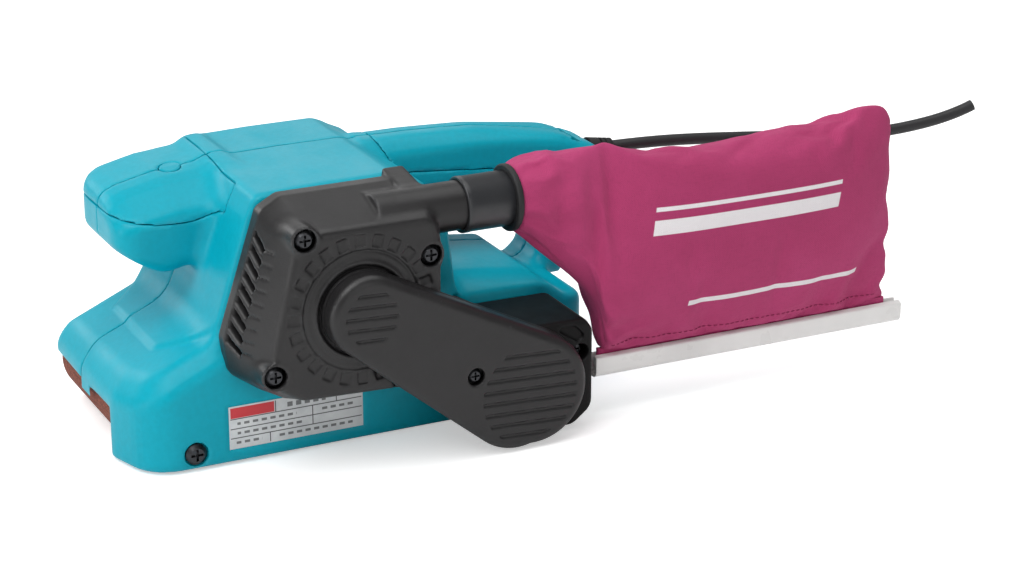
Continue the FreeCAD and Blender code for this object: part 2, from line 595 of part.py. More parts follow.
BLOCK_SECTION = [(-40, 40), (-40, 106, 8), (-30, 124.3, 5), (60, 124.3, 3),
                 (X_FAN_IN, 119.5, 2), (X_FAN_IN, 40)]
GRIP_SIDE = [(-91.5, 91, 8), (-91.5, 110, 9), (-70, 118, 14), (Y_SPLIT_GRIP, 123),
             (Y_SPLIT_GRIP, 80), (-57, 79, 4), (-66, 76, 8)]
GRIP_PLAN = [(-14, -91.5, 8), (14, -91.5, 8), (29, -78, 14), (32, -58, 20),
             (32, Y_SPLIT_GRIP), (-30, Y_SPLIT_GRIP), (-31, -58, 20), (-29, -78, 14)]
GRIP_SECTION = [(-32, 74, 16), (-32, 122.5, 13), (33, 122.5, 13), (33, 74, 16)]
HANDLE_SIDE = [(40, 80), (40, 123), (94, 121, 60), (142, 113, 40), (160, 105, 9),
               (165.5, 93, 9), (150, 60, 8), (138, 44), (112, 44), (114, 56, 5),
               (131, 84, 9), (60, 86, 5), (52, 80)]
HANDLE_SECTION = [(-HANDLE_HALF, 40), (-HANDLE_HALF, 123.5, 12),
                  (HANDLE_HALF, 123.5, 12), (HANDLE_HALF, 40)]

base = prism("yz", BASE_SIDE, X_RIGHT, X_LEFT).common(
    prism("xy", BASE_PLAN, 0, 80)).common(prism("xz", BASE_SECTION, -120, 140))
block = prism("yz", BLOCK_SIDE, -40, X_FAN_IN).common(prism("xz", BLOCK_SECTION, -120, 140))
grip_blank = prism("yz", GRIP_SIDE, -40, 40)
grip = grip_blank.common(prism("xy", GRIP_PLAN, 60, 140)).common(
    prism("xz", GRIP_SECTION, -120, 0))
handle = prism("yz", HANDLE_SIDE, -HANDLE_HALF, HANDLE_HALF).common(
    prism("xz", HANDLE_SECTION, -120, 180)).cut(block)
# the handle's rear post belongs to the main housing
post = handle.common(fuse(box(-30, 30, 134.0, 180, 30, Z_HANDLE_LINE),
                          box(-30, 30, 100, 180, 30, 84)))

# ---- fittings in the shells ----
LABEL = (-58.0, 7.5, 7.5, 28.5)          # y0, y1, z0, z1 of the label pocket
PLUG = (0, -56.0)                        # (x, y) on the grip's split line
TRIGGER_PIN, TRIGGER_PIN_R = (63.5, 94.0), 1.5   # (y, z), radius
BUTTON, BUTTON_R = (76.0, 105.2), 3.8
DIAL, DIAL_R, DIAL_STEM_R, DIAL_NOTCHES = (36.0, 100.0), 12.0, 3.0, 18
X_DIAL = -36.0                           # inner face of the dial
MODULE = (-30, -13, 34, 49.8, 93, 111)   # speed module box
# y, z, x of the screws from the right that join the housing halves
HOUSING_SCREWS = [(-47.0, 70.0, -38.0), (-70.0, 88.0, -26.0), (22.0, 115.0, -31.0),
                  (47.0, 70.0, -38.0), (118.0, 30.0, -12.0), (148.0, 76.0, -16.0)]
HANDLE_SCREWS = [(66.0, 115.0), (141.0, 108.2)]  # y, z
X_HANDLE_SEAT = -HANDLE_HALF + 6
TRIGGER = [(60.5, 97, 1.5), (60.5, 84, 3), (64, 76.5, 4),    # y, z, radius
           (86, 79, 6), (90, 84, 3), (90, 97, 1)]


def speed_dial():
    dial = cyl_x(*DIAL, DIAL_R, -40.8, X_DIAL)
    for i in range(DIAL_NOTCHES):
        dial = dial.cut(cyl_x(*around(DIAL, DIAL_R + 0.4, i, DIAL_NOTCHES), 0.9, -42, -34))
    return fuse(dial, cyl_x(*DIAL, DIAL_STEM_R, X_DIAL, -30.2))


parts["rating_label"] = box(X_LEFT - 0.35, X_LEFT + 0.05, LABEL[0] + 0.2, LABEL[1] - 0.2,
                            LABEL[2] + 0.2, LABEL[3] - 0.2)
parts["tracking_screw"] = screw(X_LEFT - 2.4, *TRACKING, TO_LEFT, 5.0, 3.4, 2.0, 32)
parts["housing_screws"] = group([screw(x + 4.0, y, z, TO_RIGHT, 3.8, 2.6, 1.8, 18)
                                 for y, z, x in HOUSING_SCREWS])
parts["handle_screws"] = group([screw(X_HANDLE_SEAT, y, z, TO_RIGHT, 3.2, 2.2, 1.6, 20)
                                for y, z in HANDLE_SCREWS])
parts["grip_screw_plug"] = cyl_z(*PLUG, 4.5, 112.0, 130).common(grip_blank)
parts["trigger"] = prism("yz", TRIGGER, -7.5, 7.5).cut(
    cyl_x(*TRIGGER_PIN, TRIGGER_PIN_R + 0.05, -20, 20))
parts["lock_button"] = fuse(cyl_x(*BUTTON, BUTTON_R, -20.5, -11.5),
                            cyl_x(*BUTTON, BUTTON_R + 1, -12.8, -11.5))
parts["speed_dial"] = speed_dial()
parts["speed_module"] = box(*MODULE)
parts["switch_body"] = box(-9, 9, 97, 126, 93, 109.5)


# ---- shells ----
def housing():
    """Base, motor block, lower grip and handle post, before the split into halves."""
    x_out = X_RIGHT - 2
    wall_pocket = [(-86.5, 0), (-86.5, 38.6), (-60, 44.8), (-56, 47.5), (104, 47.5), (104, 0)]
    grip_low = grip.common(box(-50, 50, -120, Y_SPLIT_GRIP, 60, Z_GRIP_LINE))
    shell = fuse(base, block, grip_low, post)
    shell = cut(
        shell,
        # sanding belt and frame
        belt_loop(-1.8, x_out, X_CAVITY), box(x_out, X_CAVITY, -110, -60, 0, 14),
        box(x_out, X_CAVITY, -60, 104, 0, 26),
        # hollow skirt on the left
        box(X_CAVITY, X_LEFT - 3, -86, -60, 0, 36), box(X_CAVITY, X_LEFT - 3, -60, 31, 0, 44),
        box(X_CAVITY, 58.8, 30, 104, 0, 46), prism("yz", wall_pocket, X_CAVITY, 49.5),
        # motor, with the right bearing seat and shaft end
        cyl_x(*MOTOR, 33.5, -12, X_FAN_IN + 1).common(box(-50, 70, -60, 60, Z_MOTOR - 24.2, 140)),
        cyl_x(*MOTOR, 30.5, -29, X_FAN_IN + 1).common(box(-50, 70, -60, 60, Z_MOTOR - 24.2, 140)),
        cyl_x(*MOTOR, MOTOR_BEARING_R, -37, 0), cyl_x(*MOTOR, 4.6, -39, 0),
        # opening to the handle, grip interior, post interior
        box(-12, 12, 30, 62, 92, 118), box(-18, 18, -82, -44, 88, 101),
        box(-12, 12, 134, 152, 88, 102),
        # label pocket and tracking screw
        box(X_LEFT - 0.35, X_LEFT + 1, *LABEL),
        cyl_x(*TRACKING, 5.3, X_LEFT - 2.6, X_LEFT + 5), cyl_x(*TRACKING, 2.2, 40, X_LEFT))
    for y, z, x in HOUSING_SCREWS:
        shell = cut(shell, cyl_x(y, z, 4.3, -60, x + 4.0), cyl_x(y, z, 1.9, x, 16))
    # dial, speed module, cord, then the fan housing and belt case with their screws
    shell = cut(shell, cyl_x(*DIAL, DIAL_R + 0.1, -45, -34.0), box(*MODULE),
                cyl_x(*DIAL, DIAL_STEM_R + 0.05, X_DIAL, -29),
                box(-13.5, -11, 36, 48, 94, 110), *CORD_CUTS,
                parts["fan_housing"], parts["belt_case"])
    for place in FAN_SCREWS + CASE_SCREWS:
        shell = cut(shell, cyl_x(*place, 2.1, 40, 110))
    return cut(shell, cyl_x(*DRIVE, DRIVE_BEARING_R + 6, 40, 63), cyl_x(*MOTOR, 35.6, 66.0, 70))


def grip_cover():
    cover = grip.common(box(-50, 50, -120, Y_SPLIT_GRIP - GAP, Z_GRIP_LINE + GAP, 140))
    return cut(cover, box(-18, 18, -80, -44, 99, 111), cyl_z(*PLUG, 4.55, 112, 130))


def handle_upper():
    upper = handle.common(box(-30, 30, 30, 180, Z_HANDLE_LINE + GAP, 130))
    upper = cut(upper, box(-13, 13, 45, 152, 99, 111))
    for place in HANDLE_SCREWS:
        upper = cut(upper, cyl_x(*place, 3.6, -30, X_HANDLE_SEAT), cyl_x(*place, 1.7, -20, 12))
    return cut(upper, cyl_x(*BUTTON, BUTTON_R + 0.1, -30, -10), *CORD_CUTS)


def handle_lower():
    lower = handle.common(box(-30, 30, 30, 133.9, 75, Z_HANDLE_LINE))
    lower = cut(lower, post, box(-13, 13, 49, 130, 91, 102), box(-7.9, 7.9, 57.5, 95.5, 70, 103))
    return fuse(lower, cyl_x(*TRIGGER_PIN, TRIGGER_PIN_R, -13.5, 13.5))


def halves(name, shape):
    """Split at x = 0 and keep the largest solid on each side."""
    for side, x0, x1 in (("left", GAP / 2, 200), ("right", -200, -GAP / 2)):
        solids = shape.common(box(x0, x1, -300, 300, -50, 300)).Solids
        parts[name + "_" + side] = max(solids, key=lambda solid: solid.Volume)


halves("housing", housing())
halves("grip_cover", grip_cover())
halves("handle", handle_upper())
parts["handle_lower"] = handle_lower()

# ---- dust bag, collar, ring and clip ----
BAG_T = 1.6              # cloth thickness of the bag
CLIP = (92.0, 25.0)      # (x, z) of the clip along the bag's bottom
X_CLIP, Z_CLIP = CLIP
# y, centre x, centre z, half width, half height, corner radius
BAG_STATIONS = [
    (75.6, X_PORT, Z_PORT, 15.0, 15.0, 14.5),
    (84.0, 88.5, 112.0, 17.5, 19.0, 15.0),
    (100.0, 89.5, 105.5, 18.0, 28.5, 14.0),
    (112.0, 90.5, 99.0, 17.5, 36.0, 12.0),
    (120.0, 91.0, 84.0, 17.0, 50.5, 10.0),
    (200.0, 92.0, 80.5, 18.0, 54.5, 10.0),
    (262.0, 92.0, 80.5, 14.0, 54.0, 8.0),
    (278.0, 92.0, 80.5, 9.0, 52.0, 6.0),
]
# x and z from the clip axis, corner radius
CLIP_SECTION = [(-4.6, -5.0, 3.5), (4.6, -5.0, 3.5), (4.6, 5.0, 1), (1.7, 6.0, 0.4),
                (1.7, -3.5, 0), (-1.7, -3.5, 0), (-1.7, 6.0, 0.4), (-4.6, 5.0, 1)]


def bag_section(y, x, half, z0, z1, radius):
    return outline("xz", [(x - half, z0, radius), (x - half, z1, radius),
                          (x + half, z1, radius), (x + half, z0, radius)], y)


def bag_hollow():
    wires = []
    last = len(BAG_STATIONS) - 1
    for i, (y, x, z, half_x, half_z, radius) in enumerate(BAG_STATIONS):
        half = half_x - BAG_T
        z0, z1 = max(z - half_z + BAG_T, 34.5), z + half_z - BAG_T
        if i == 0:
            # the mouth fits the outlet tube
            y -= 0.4
            half, z0, z1 = R_PORT, Z_PORT - R_PORT, Z_PORT + R_PORT
        elif i == last:
            y -= BAG_T
        wires.append(bag_section(y, x, half, z0, z1, radius - 1))
    return loft(wires)


def dust_bag():
    bag = loft([bag_section(y, x, half_x, z - half_z, z + half_z, radius)
                for y, x, z, half_x, half_z, radius in BAG_STATIONS])
    bag = cut(bag, box(60, 130, 70, 300, 0, Z_CLIP + 7.4))
    hem = box(X_CLIP - 1.2, X_CLIP + 1.2, 118.0, 278.0, Z_CLIP - 2.0, Z_CLIP + 7.6)
    bead = cyl_y(X_CLIP, Z_CLIP - 0.6, 2.6, 118.0, 278.0)
    return cut(fuse(bag, hem, bead), bag_hollow(), cyl_y(*PORT, 12.9, 60, 77),
               parts["belt_cover"], parts["belt_case"])


def bag_collar():
    collar = cut(cyl_y(*PORT, 14.2, 44.0, 76.0), cyl_y(*PORT, R_PORT + 0.1, 40, 73.0),
                 cyl_y(*PORT, 9.5, 40, 90))
    return collar.cut(cyl_y(*PORT, 16, 70.0, 76.5).cut(cyl_y(*PORT, 12.6, 60, 80)))


def bag_clip():
    points = [(X_CLIP + x, Z_CLIP + z, radius) for x, z, radius in CLIP_SECTION]
    return prism("xz", points, 115.5, 285.5).cut(cyl_y(X_CLIP, Z_CLIP - 0.6, 3.0, 110, 290))


parts["bag_collar"] = bag_collar()
parts["bag_ring"] = cyl_y(*PORT, 16.4, 70.2, 75.4).cut(cyl_y(*PORT, 12.7, 60, 80))
parts["dust_bag"] = dust_bag()
parts["bag_clip"] = bag_clip()

# ---- export, without slivers ----
MIN_VOLUME = 0.5
for name, shape in sorted(parts.items()):
    solids = [solid for solid in shape.Solids if solid.Volume > MIN_VOLUME]
    shape = solids[0] if len(solids) == 1 else group(solids)
    shape.exportStep("parts/%s.step" % name)
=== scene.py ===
import functools
import math
import bmesh
import bpy
import numpy as np
from mathutils import Matrix, Vector
from mathutils.bvhtree import BVHTree


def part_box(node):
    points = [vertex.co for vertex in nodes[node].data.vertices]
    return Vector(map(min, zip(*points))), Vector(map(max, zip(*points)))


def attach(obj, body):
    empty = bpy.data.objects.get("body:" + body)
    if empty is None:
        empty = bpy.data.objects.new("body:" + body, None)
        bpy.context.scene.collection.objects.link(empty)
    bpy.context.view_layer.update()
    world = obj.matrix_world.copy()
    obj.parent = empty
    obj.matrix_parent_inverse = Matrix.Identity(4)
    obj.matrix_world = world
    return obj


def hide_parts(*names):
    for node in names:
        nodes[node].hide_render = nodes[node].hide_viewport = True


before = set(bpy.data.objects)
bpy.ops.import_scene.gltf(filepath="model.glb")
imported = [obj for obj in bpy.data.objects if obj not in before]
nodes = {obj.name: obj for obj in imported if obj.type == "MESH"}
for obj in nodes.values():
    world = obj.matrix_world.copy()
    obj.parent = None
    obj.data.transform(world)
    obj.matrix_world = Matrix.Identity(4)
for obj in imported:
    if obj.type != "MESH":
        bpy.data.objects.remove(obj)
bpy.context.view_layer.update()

# Handheld belt sander: moulded shells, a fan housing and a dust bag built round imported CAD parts.
# It stands on z = 0 with its nose towards -Y; the fan housing and the bag are on its left, +X.
# Geometry is written in millimetres and turned into metres when a mesh is made.
MM = 0.001
F32 = np.float32

# ------------------------------------------------------------------ shared dimensions
# Points on an axis along X are (y, z).
BELT_LENGTH = 457.0
WRAP_RADII_SUM = 46.0           # drive and idler wrap radii together
CENTRES = (BELT_LENGTH - math.pi * WRAP_RADII_SUM) / 2
BELT_MID_Y = -1.9
DRIVE_RADIUS, IDLER_RADIUS = 26.0, 21.0
DRIVE = (BELT_MID_Y + CENTRES / 2, DRIVE_RADIUS)
IDLER = (BELT_MID_Y - CENTRES / 2, IDLER_RADIUS)
BELT_GAP = 1.9                  # clearance round the belt
MOTOR = (-5.5, 77.0)
TUBE_X, TUBE_Z = 88.0, 113.0    # dust outlet, along Y
FAN_SCREWS = [(-31.0, 112.6), (-46.5, 51.8), (28.6, 97.0), (14.0, 41.0)]
TRACKING_SCREW = (-73.6, 8.4)
COVER_SCREW = (44.5, 40.5)
SPEED_DIAL = (36, 100)
PLUG = (0, -56)                 # (x, y) of the plug in the front grip


# ------------------------------------------------------------------ signed-distance modelling
# A field holds distances on a grid, negative inside the solid.
def rounded(corners, steps=7):
    """Closed polygon from corners (a, b) or (a, b, radius), each radius drawn as an arc."""
    count = len(corners)
    out = []
    for i in range(count):
        corner = np.array(corners[i][:2], float)
        radius = corners[i][2] if len(corners[i]) > 2 else 0.0
        back = np.array(corners[i - 1][:2], float) - corner
        ahead = np.array(corners[(i + 1) % count][:2], float) - corner
        back_length, ahead_length = np.linalg.norm(back), np.linalg.norm(ahead)
        back, ahead = back / back_length, ahead / ahead_length
        angle = math.acos(max(-1.0, min(1.0, float(back @ ahead))))
        if radius <= 0 or angle > math.pi - 0.02:
            out.append(corner)
            continue
        reach = min(radius / math.tan(angle / 2), back_length * 0.49, ahead_length * 0.49)
        radius = reach * math.tan(angle / 2)
        bisector = back + ahead
        bisector = bisector / np.linalg.norm(bisector)
        centre = corner + bisector * (radius / math.sin(angle / 2))
        start = math.atan2(*(corner + back * reach - centre)[::-1])
        end = math.atan2(*(corner + ahead * reach - centre)[::-1])
        turn = (end - start + math.pi) % (2 * math.pi) - math.pi
        for k in range(steps + 1):
            bearing = start + turn * k / steps
            out.append(centre + radius * np.array([math.cos(bearing), math.sin(bearing)]))
    return np.array(out)


def polygon_field(points, across, up):
    """Signed distance to a closed polygon over a 2-D grid."""
    across = across.astype(np.float64)
    up = up.astype(np.float64)
    nearest = np.full(np.broadcast(across, up).shape, 1e18)
    inside = np.zeros(nearest.shape, bool)
    for i in range(len(points)):
        start, end = points[i - 1], points[i]
        edge = end - start
        length2 = float(edge @ edge)
        if length2 < 1e-12:
            continue
        da, db = across - start[0], up - start[1]
        along = np.clip((da * edge[0] + db * edge[1]) / length2, 0, 1)
        gap2 = (da - edge[0] * along) ** 2 + (db - edge[1] * along) ** 2
        nearest = np.minimum(nearest, gap2)
        if start[1] != end[1]:
            spans = (start[1] <= up) != (end[1] <= up)
            inside ^= spans & (across < start[0] + (up - start[1]) * edge[0] / edge[1])
    return (np.sqrt(nearest) * np.where(inside, -1, 1)).astype(F32)


def hull(centre1, radius1, centre2, radius2, steps=40):
    """Outline of a belt stretched round two circles."""
    across, up = centre2[0] - centre1[0], centre2[1] - centre1[1]
    base = math.atan2(up, across)
    lean = math.acos((radius1 - radius2) / math.hypot(across, up))
    arcs = ((centre1, radius1, base + lean, 2 * math.pi - 2 * lean),
            (centre2, radius2, base - lean, 2 * lean))
    points = []
    for centre, radius, start, turn in arcs:
        for k in range(steps + 1):
            angle = start + turn * k / steps
            points.append((centre[0] + radius * math.cos(angle),
                           centre[1] + radius * math.sin(angle)))
    return points


def meet(*fields, soft=0.0):
    """What all the solids share; soft is the width over which the meeting edge is rounded."""
    out = fields[0]
    for other in fields[1:]:
        sharp = np.maximum(out, other)
        if soft > 0:
            near = np.maximum(soft - np.abs(out - other), 0) / soft
            sharp = sharp + near * near * (soft * 0.25)
        out = sharp
    return out


def join(*fields, soft=0.0):
    return -meet(*(-field for field in fields), soft=soft)


def cut(field, *tools, soft=0.0):
    """The first solid with the tools taken away."""
    return meet(field, *(-tool for tool in tools), soft=soft)


class Grid:
    """Sample points on which fields are worked out; X, Y and Z broadcast against each other."""

    def __init__(self, low, high, step):
        self.step = step
        self.low = np.array(low, float)
        counts = [int(math.ceil((b - a) / step)) + 1 for a, b in zip(low, high)]
        axes = [(self.low[i] + step * np.arange(counts[i])).astype(F32) for i in range(3)]
        self.X = axes[0][:, None, None]
        self.Y = axes[1][None, :, None]
        self.Z = axes[2][None, None, :]

    def poly_yz(self, corners):
        return polygon_field(rounded(corners), self.Y[0], self.Z[0])[None]

    def poly_xy(self, corners):
        return polygon_field(rounded(corners), self.X[:, :, 0], self.Y[:, :, 0])[:, :, None]

    def poly_xz(self, corners):
        return polygon_field(rounded(corners), self.X[:, 0], self.Z[0])[:, None, :]

    def slab(self, coord, low, high):
        return np.maximum(low - coord, coord - high)

    def box(self, x0, x1, y0, y1, z0, z1):
        return meet(self.slab(self.X, x0, x1), self.slab(self.Y, y0, y1),
                    self.slab(self.Z, z0, z1))

    def from_axis(self, y, z):
        """Distance from the line along X through (y, z)."""
        return np.sqrt((self.Y - y) ** 2 + (self.Z - z) ** 2)

    def cyl_x(self, y, z, radius, x0, x1, soft=0.0):
        return meet(self.from_axis(y, z) - F32(radius), self.slab(self.X, x0, x1), soft=soft)

    def cyl_y(self, x, z, radius, y0, y1, soft=0.0):
        away = np.sqrt((self.X - x) ** 2 + (self.Z - z) ** 2)
        return meet(away - F32(radius), self.slab(self.Y, y0, y1), soft=soft)

    def cyl_z(self, x, y, radius, z0, z1, soft=0.0):
        away = np.sqrt((self.X - x) ** 2 + (self.Y - y) ** 2)
        return meet(away - F32(radius), self.slab(self.Z, z0, z1), soft=soft)


# ------------------------------------------------------------------ fields into meshes
CORNERS = [(a, b, c) for a in (0, 1) for b in (0, 1) for c in (0, 1)]
OTHER_AXES = ((1, 2), (0, 2), (0, 1))


def surface_nets(field, origin, step):
    """Points and quads of the field's zero level, the points moved on to the level."""
    field = np.ascontiguousarray(field, F32)
    inside = field < 0
    for axis in range(3):       # the outer layer is always outside, so that the mesh is closed
        for end in (0, -1):
            layer = [slice(None)] * 3
            layer[axis] = end
            layer = tuple(layer)
            if inside[layer].any():
                field[layer] = np.maximum(field[layer], 0.4 * step)
    inside = field < 0
    filled = np.zeros([n - 1 for n in field.shape], np.int8)
    nx, ny, nz = filled.shape
    for a, b, c in CORNERS:
        filled += inside[a:a + nx, b:b + ny, c:c + nz]
    cells = np.array(np.nonzero((filled > 0) & (filled < 8)))
    total = cells.shape[1]
    ids = np.full(filled.shape, -1, np.int32)
    ids[tuple(cells)] = np.arange(total)

    def sample(offset):
        return field[tuple(cells[i] + offset[i] for i in range(3))]

    # first guess: the mean of the places where the cell's edges cross the level
    spot = np.zeros((total, 3))
    crossings = np.zeros(total)
    for axis in range(3):
        side1, side2 = OTHER_AXES[axis]
        for b in (0, 1):
            for c in (0, 1):
                start = [0, 0, 0]
                start[side1], start[side2] = b, c
                end = list(start)
                end[axis] = 1
                value0, value1 = sample(start), sample(end)
                crossed = (value0 < 0) != (value1 < 0)
                along = np.where(crossed, value0 / np.where(crossed, value0 - value1, 1), 0)
                spot[:, axis] += np.where(crossed, along, 0)
                spot[:, side1] += np.where(crossed, b, 0)
                spot[:, side2] += np.where(crossed, c, 0)
                crossings += crossed
    spot = spot / crossings[:, None]

    # Newton steps on the trilinear field, kept near the first guess and inside the cell
    guess = spot.copy()
    values = np.stack([sample(corner) for corner in CORNERS], 1).astype(float)
    for _ in range(3):
        shares = [(1 - u, u) for u in spot.T]
        level = np.zeros(total)
        slope = np.zeros((total, 3))
        for value, corner in zip(values.T, CORNERS):
            share = [shares[i][corner[i]] for i in range(3)]
            level += value * share[0] * share[1] * share[2]
            for axis, (side1, side2) in enumerate(OTHER_AXES):
                sign = 1 if corner[axis] else -1
                slope[:, axis] += value * sign * share[side1] * share[side2]
        steepness = np.maximum((slope ** 2).sum(1), 1e-6)
        move = -(level / steepness)[:, None] * slope
        spot = np.clip(spot + np.clip(move, -0.5, 0.5), guess - 0.7, guess + 0.7)
        spot = np.clip(spot, 0.0, 1.0)
    points = origin + step * (cells.T.astype(float) + spot)

    # one quad round each grid edge that crosses the level
    quads = []
    for axis in range(3):
        side1, side2 = OTHER_AXES[axis]
        if axis == 1:
            side1, side2 = side2, side1
        edges = np.array(np.nonzero(np.diff(inside, axis=axis)))
        kept = (edges[side1] > 0) & (edges[side2] > 0)
        kept &= (edges[side1] < field.shape[side1] - 1) & (edges[side2] < field.shape[side2] - 1)
        edges = edges[:, kept]
        around = []
        for back1, back2 in ((1, 1), (0, 1), (0, 0), (1, 0)):
            cell = edges.copy()
            cell[side1] -= back1
            cell[side2] -= back2
            around.append(ids[tuple(cell)])
        quad = np.stack(around, 1)
        flip = ~inside[tuple(edges)]
        quad[flip] = quad[flip][:, ::-1]
        quads.append(quad)
    return points, np.concatenate(quads)


def largest_piece(points, quads):
    """Keeps only the largest connected piece, so that no stray faces are left."""
    label = np.arange(len(points))
    edges = np.concatenate([quads[:, [0, 1]], quads[:, [1, 2]], quads[:, [2, 3]]])
    while True:
        lowest = np.minimum(label[edges[:, 0]], label[edges[:, 1]])
        new = label.copy()
        np.minimum.at(new, edges[:, 0], lowest)
        np.minimum.at(new, edges[:, 1], lowest)
        new = new[new]
        new = new[new]
        if (new == label).all():
            break
        label = new
    keep = label == np.bincount(label[quads[:, 0]]).argmax()
    index = np.cumsum(keep) - 1
    return points[keep], index[quads[keep[quads[:, 0]]]]


def smooth(mesh, sharp):
    """Smooth shading, split at edges steeper than sharp degrees unless it is 0."""
    mesh.polygons.foreach_set("use_smooth", [True] * len(mesh.polygons))
    if sharp:
        mesh.set_sharp_from_angle(angle=math.radians(sharp))


def mesh_object(name, points, faces, sharp):
    """Object from points in millimetres and faces that all have the same number of corners."""
    mesh = bpy.data.meshes.new(name)
    mesh.vertices.add(len(points))
    mesh.vertices.foreach_set("co", (points * MM).astype(F32).ravel())
    count, width = faces.shape
    mesh.loops.add(count * width)
    mesh.loops.foreach_set("vertex_index", faces.astype(np.int32).ravel())
    mesh.polygons.add(count)
    mesh.polygons.foreach_set("loop_start", np.arange(0, count * width, width, dtype=np.int32))
    mesh.update(calc_edges=True)
    mesh.validate()
    smooth(mesh, sharp)
    ob = bpy.data.objects.new(name, mesh)
    bpy.context.scene.collection.objects.link(ob)
    return ob


def face_outwards(mesh, fill_ends=False):
    bm = bmesh.new()
    bm.from_mesh(mesh)
    if fill_ends:
        bmesh.ops.holes_fill(bm, edges=bm.edges, sides=0)
    bmesh.ops.recalc_face_normals(bm, faces=bm.faces)
    bm.to_mesh(mesh)
    bm.free()


def ring_faces(rings, size, first=0, closed=False):
    """Quads between rings of size points each; closed joins the last ring to the first."""
    faces = []
    for i in range(rings if closed else rings - 1):
        here, there = first + i * size, first + (i + 1) % rings * size
        for j in range(size):
            after = (j + 1) % size
            faces.append((here + j, here + after, there + after, there + j))
    return faces


def finish(ob, material, body, replaced=()):
    ob.data.materials.append(MATERIALS[material])
    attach(ob, body)
    if replaced:
        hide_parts(*replaced)


def solid(name, grid, field, material, replaced, sharp=38.0):
    """Meshes a field and puts it in place of the CAD part called replaced."""
    field = np.broadcast_to(field, np.broadcast(grid.X, grid.Y, grid.Z).shape)
    inside = field < 0
    spans = []
    for axis in range(3):
        used = np.nonzero(inside.any(axis=OTHER_AXES[axis]))[0]
        spans.append((max(used[0] - 2, 0), min(used[-1] + 3, inside.shape[axis])))
    part = np.array(field[tuple(slice(*span) for span in spans)])
    first = np.array([span[0] for span in spans])
    if any(spans[a][0] == 0 or spans[a][1] == inside.shape[a] for a in range(3)):
        part = np.pad(part, 1, mode="edge")
        first = first - 1
    points, quads = surface_nets(part, grid.low + grid.step * first, grid.step)
    ob = mesh_object(name, *largest_piece(points, quads), sharp)
    finish(ob, material, "body", (replaced,))


# ------------------------------------------------------------------ material tools
MATERIALS = {}      # by name; each Shader adds its own


def rgb(code):
    """Linear RGBA from a six-figure sRGB hex code."""
    parts = [int(code[i:i + 2], 16) / 255 for i in (0, 2, 4)]
    return tuple(c / 12.92 if c <= 0.04045 else ((c + 0.055) / 1.055) ** 2.4
                 for c in parts) + (1.0,)


def scaled(colour, factor):
    return tuple(min(1.0, c * factor) for c in colour[:3]) + (1.0,)


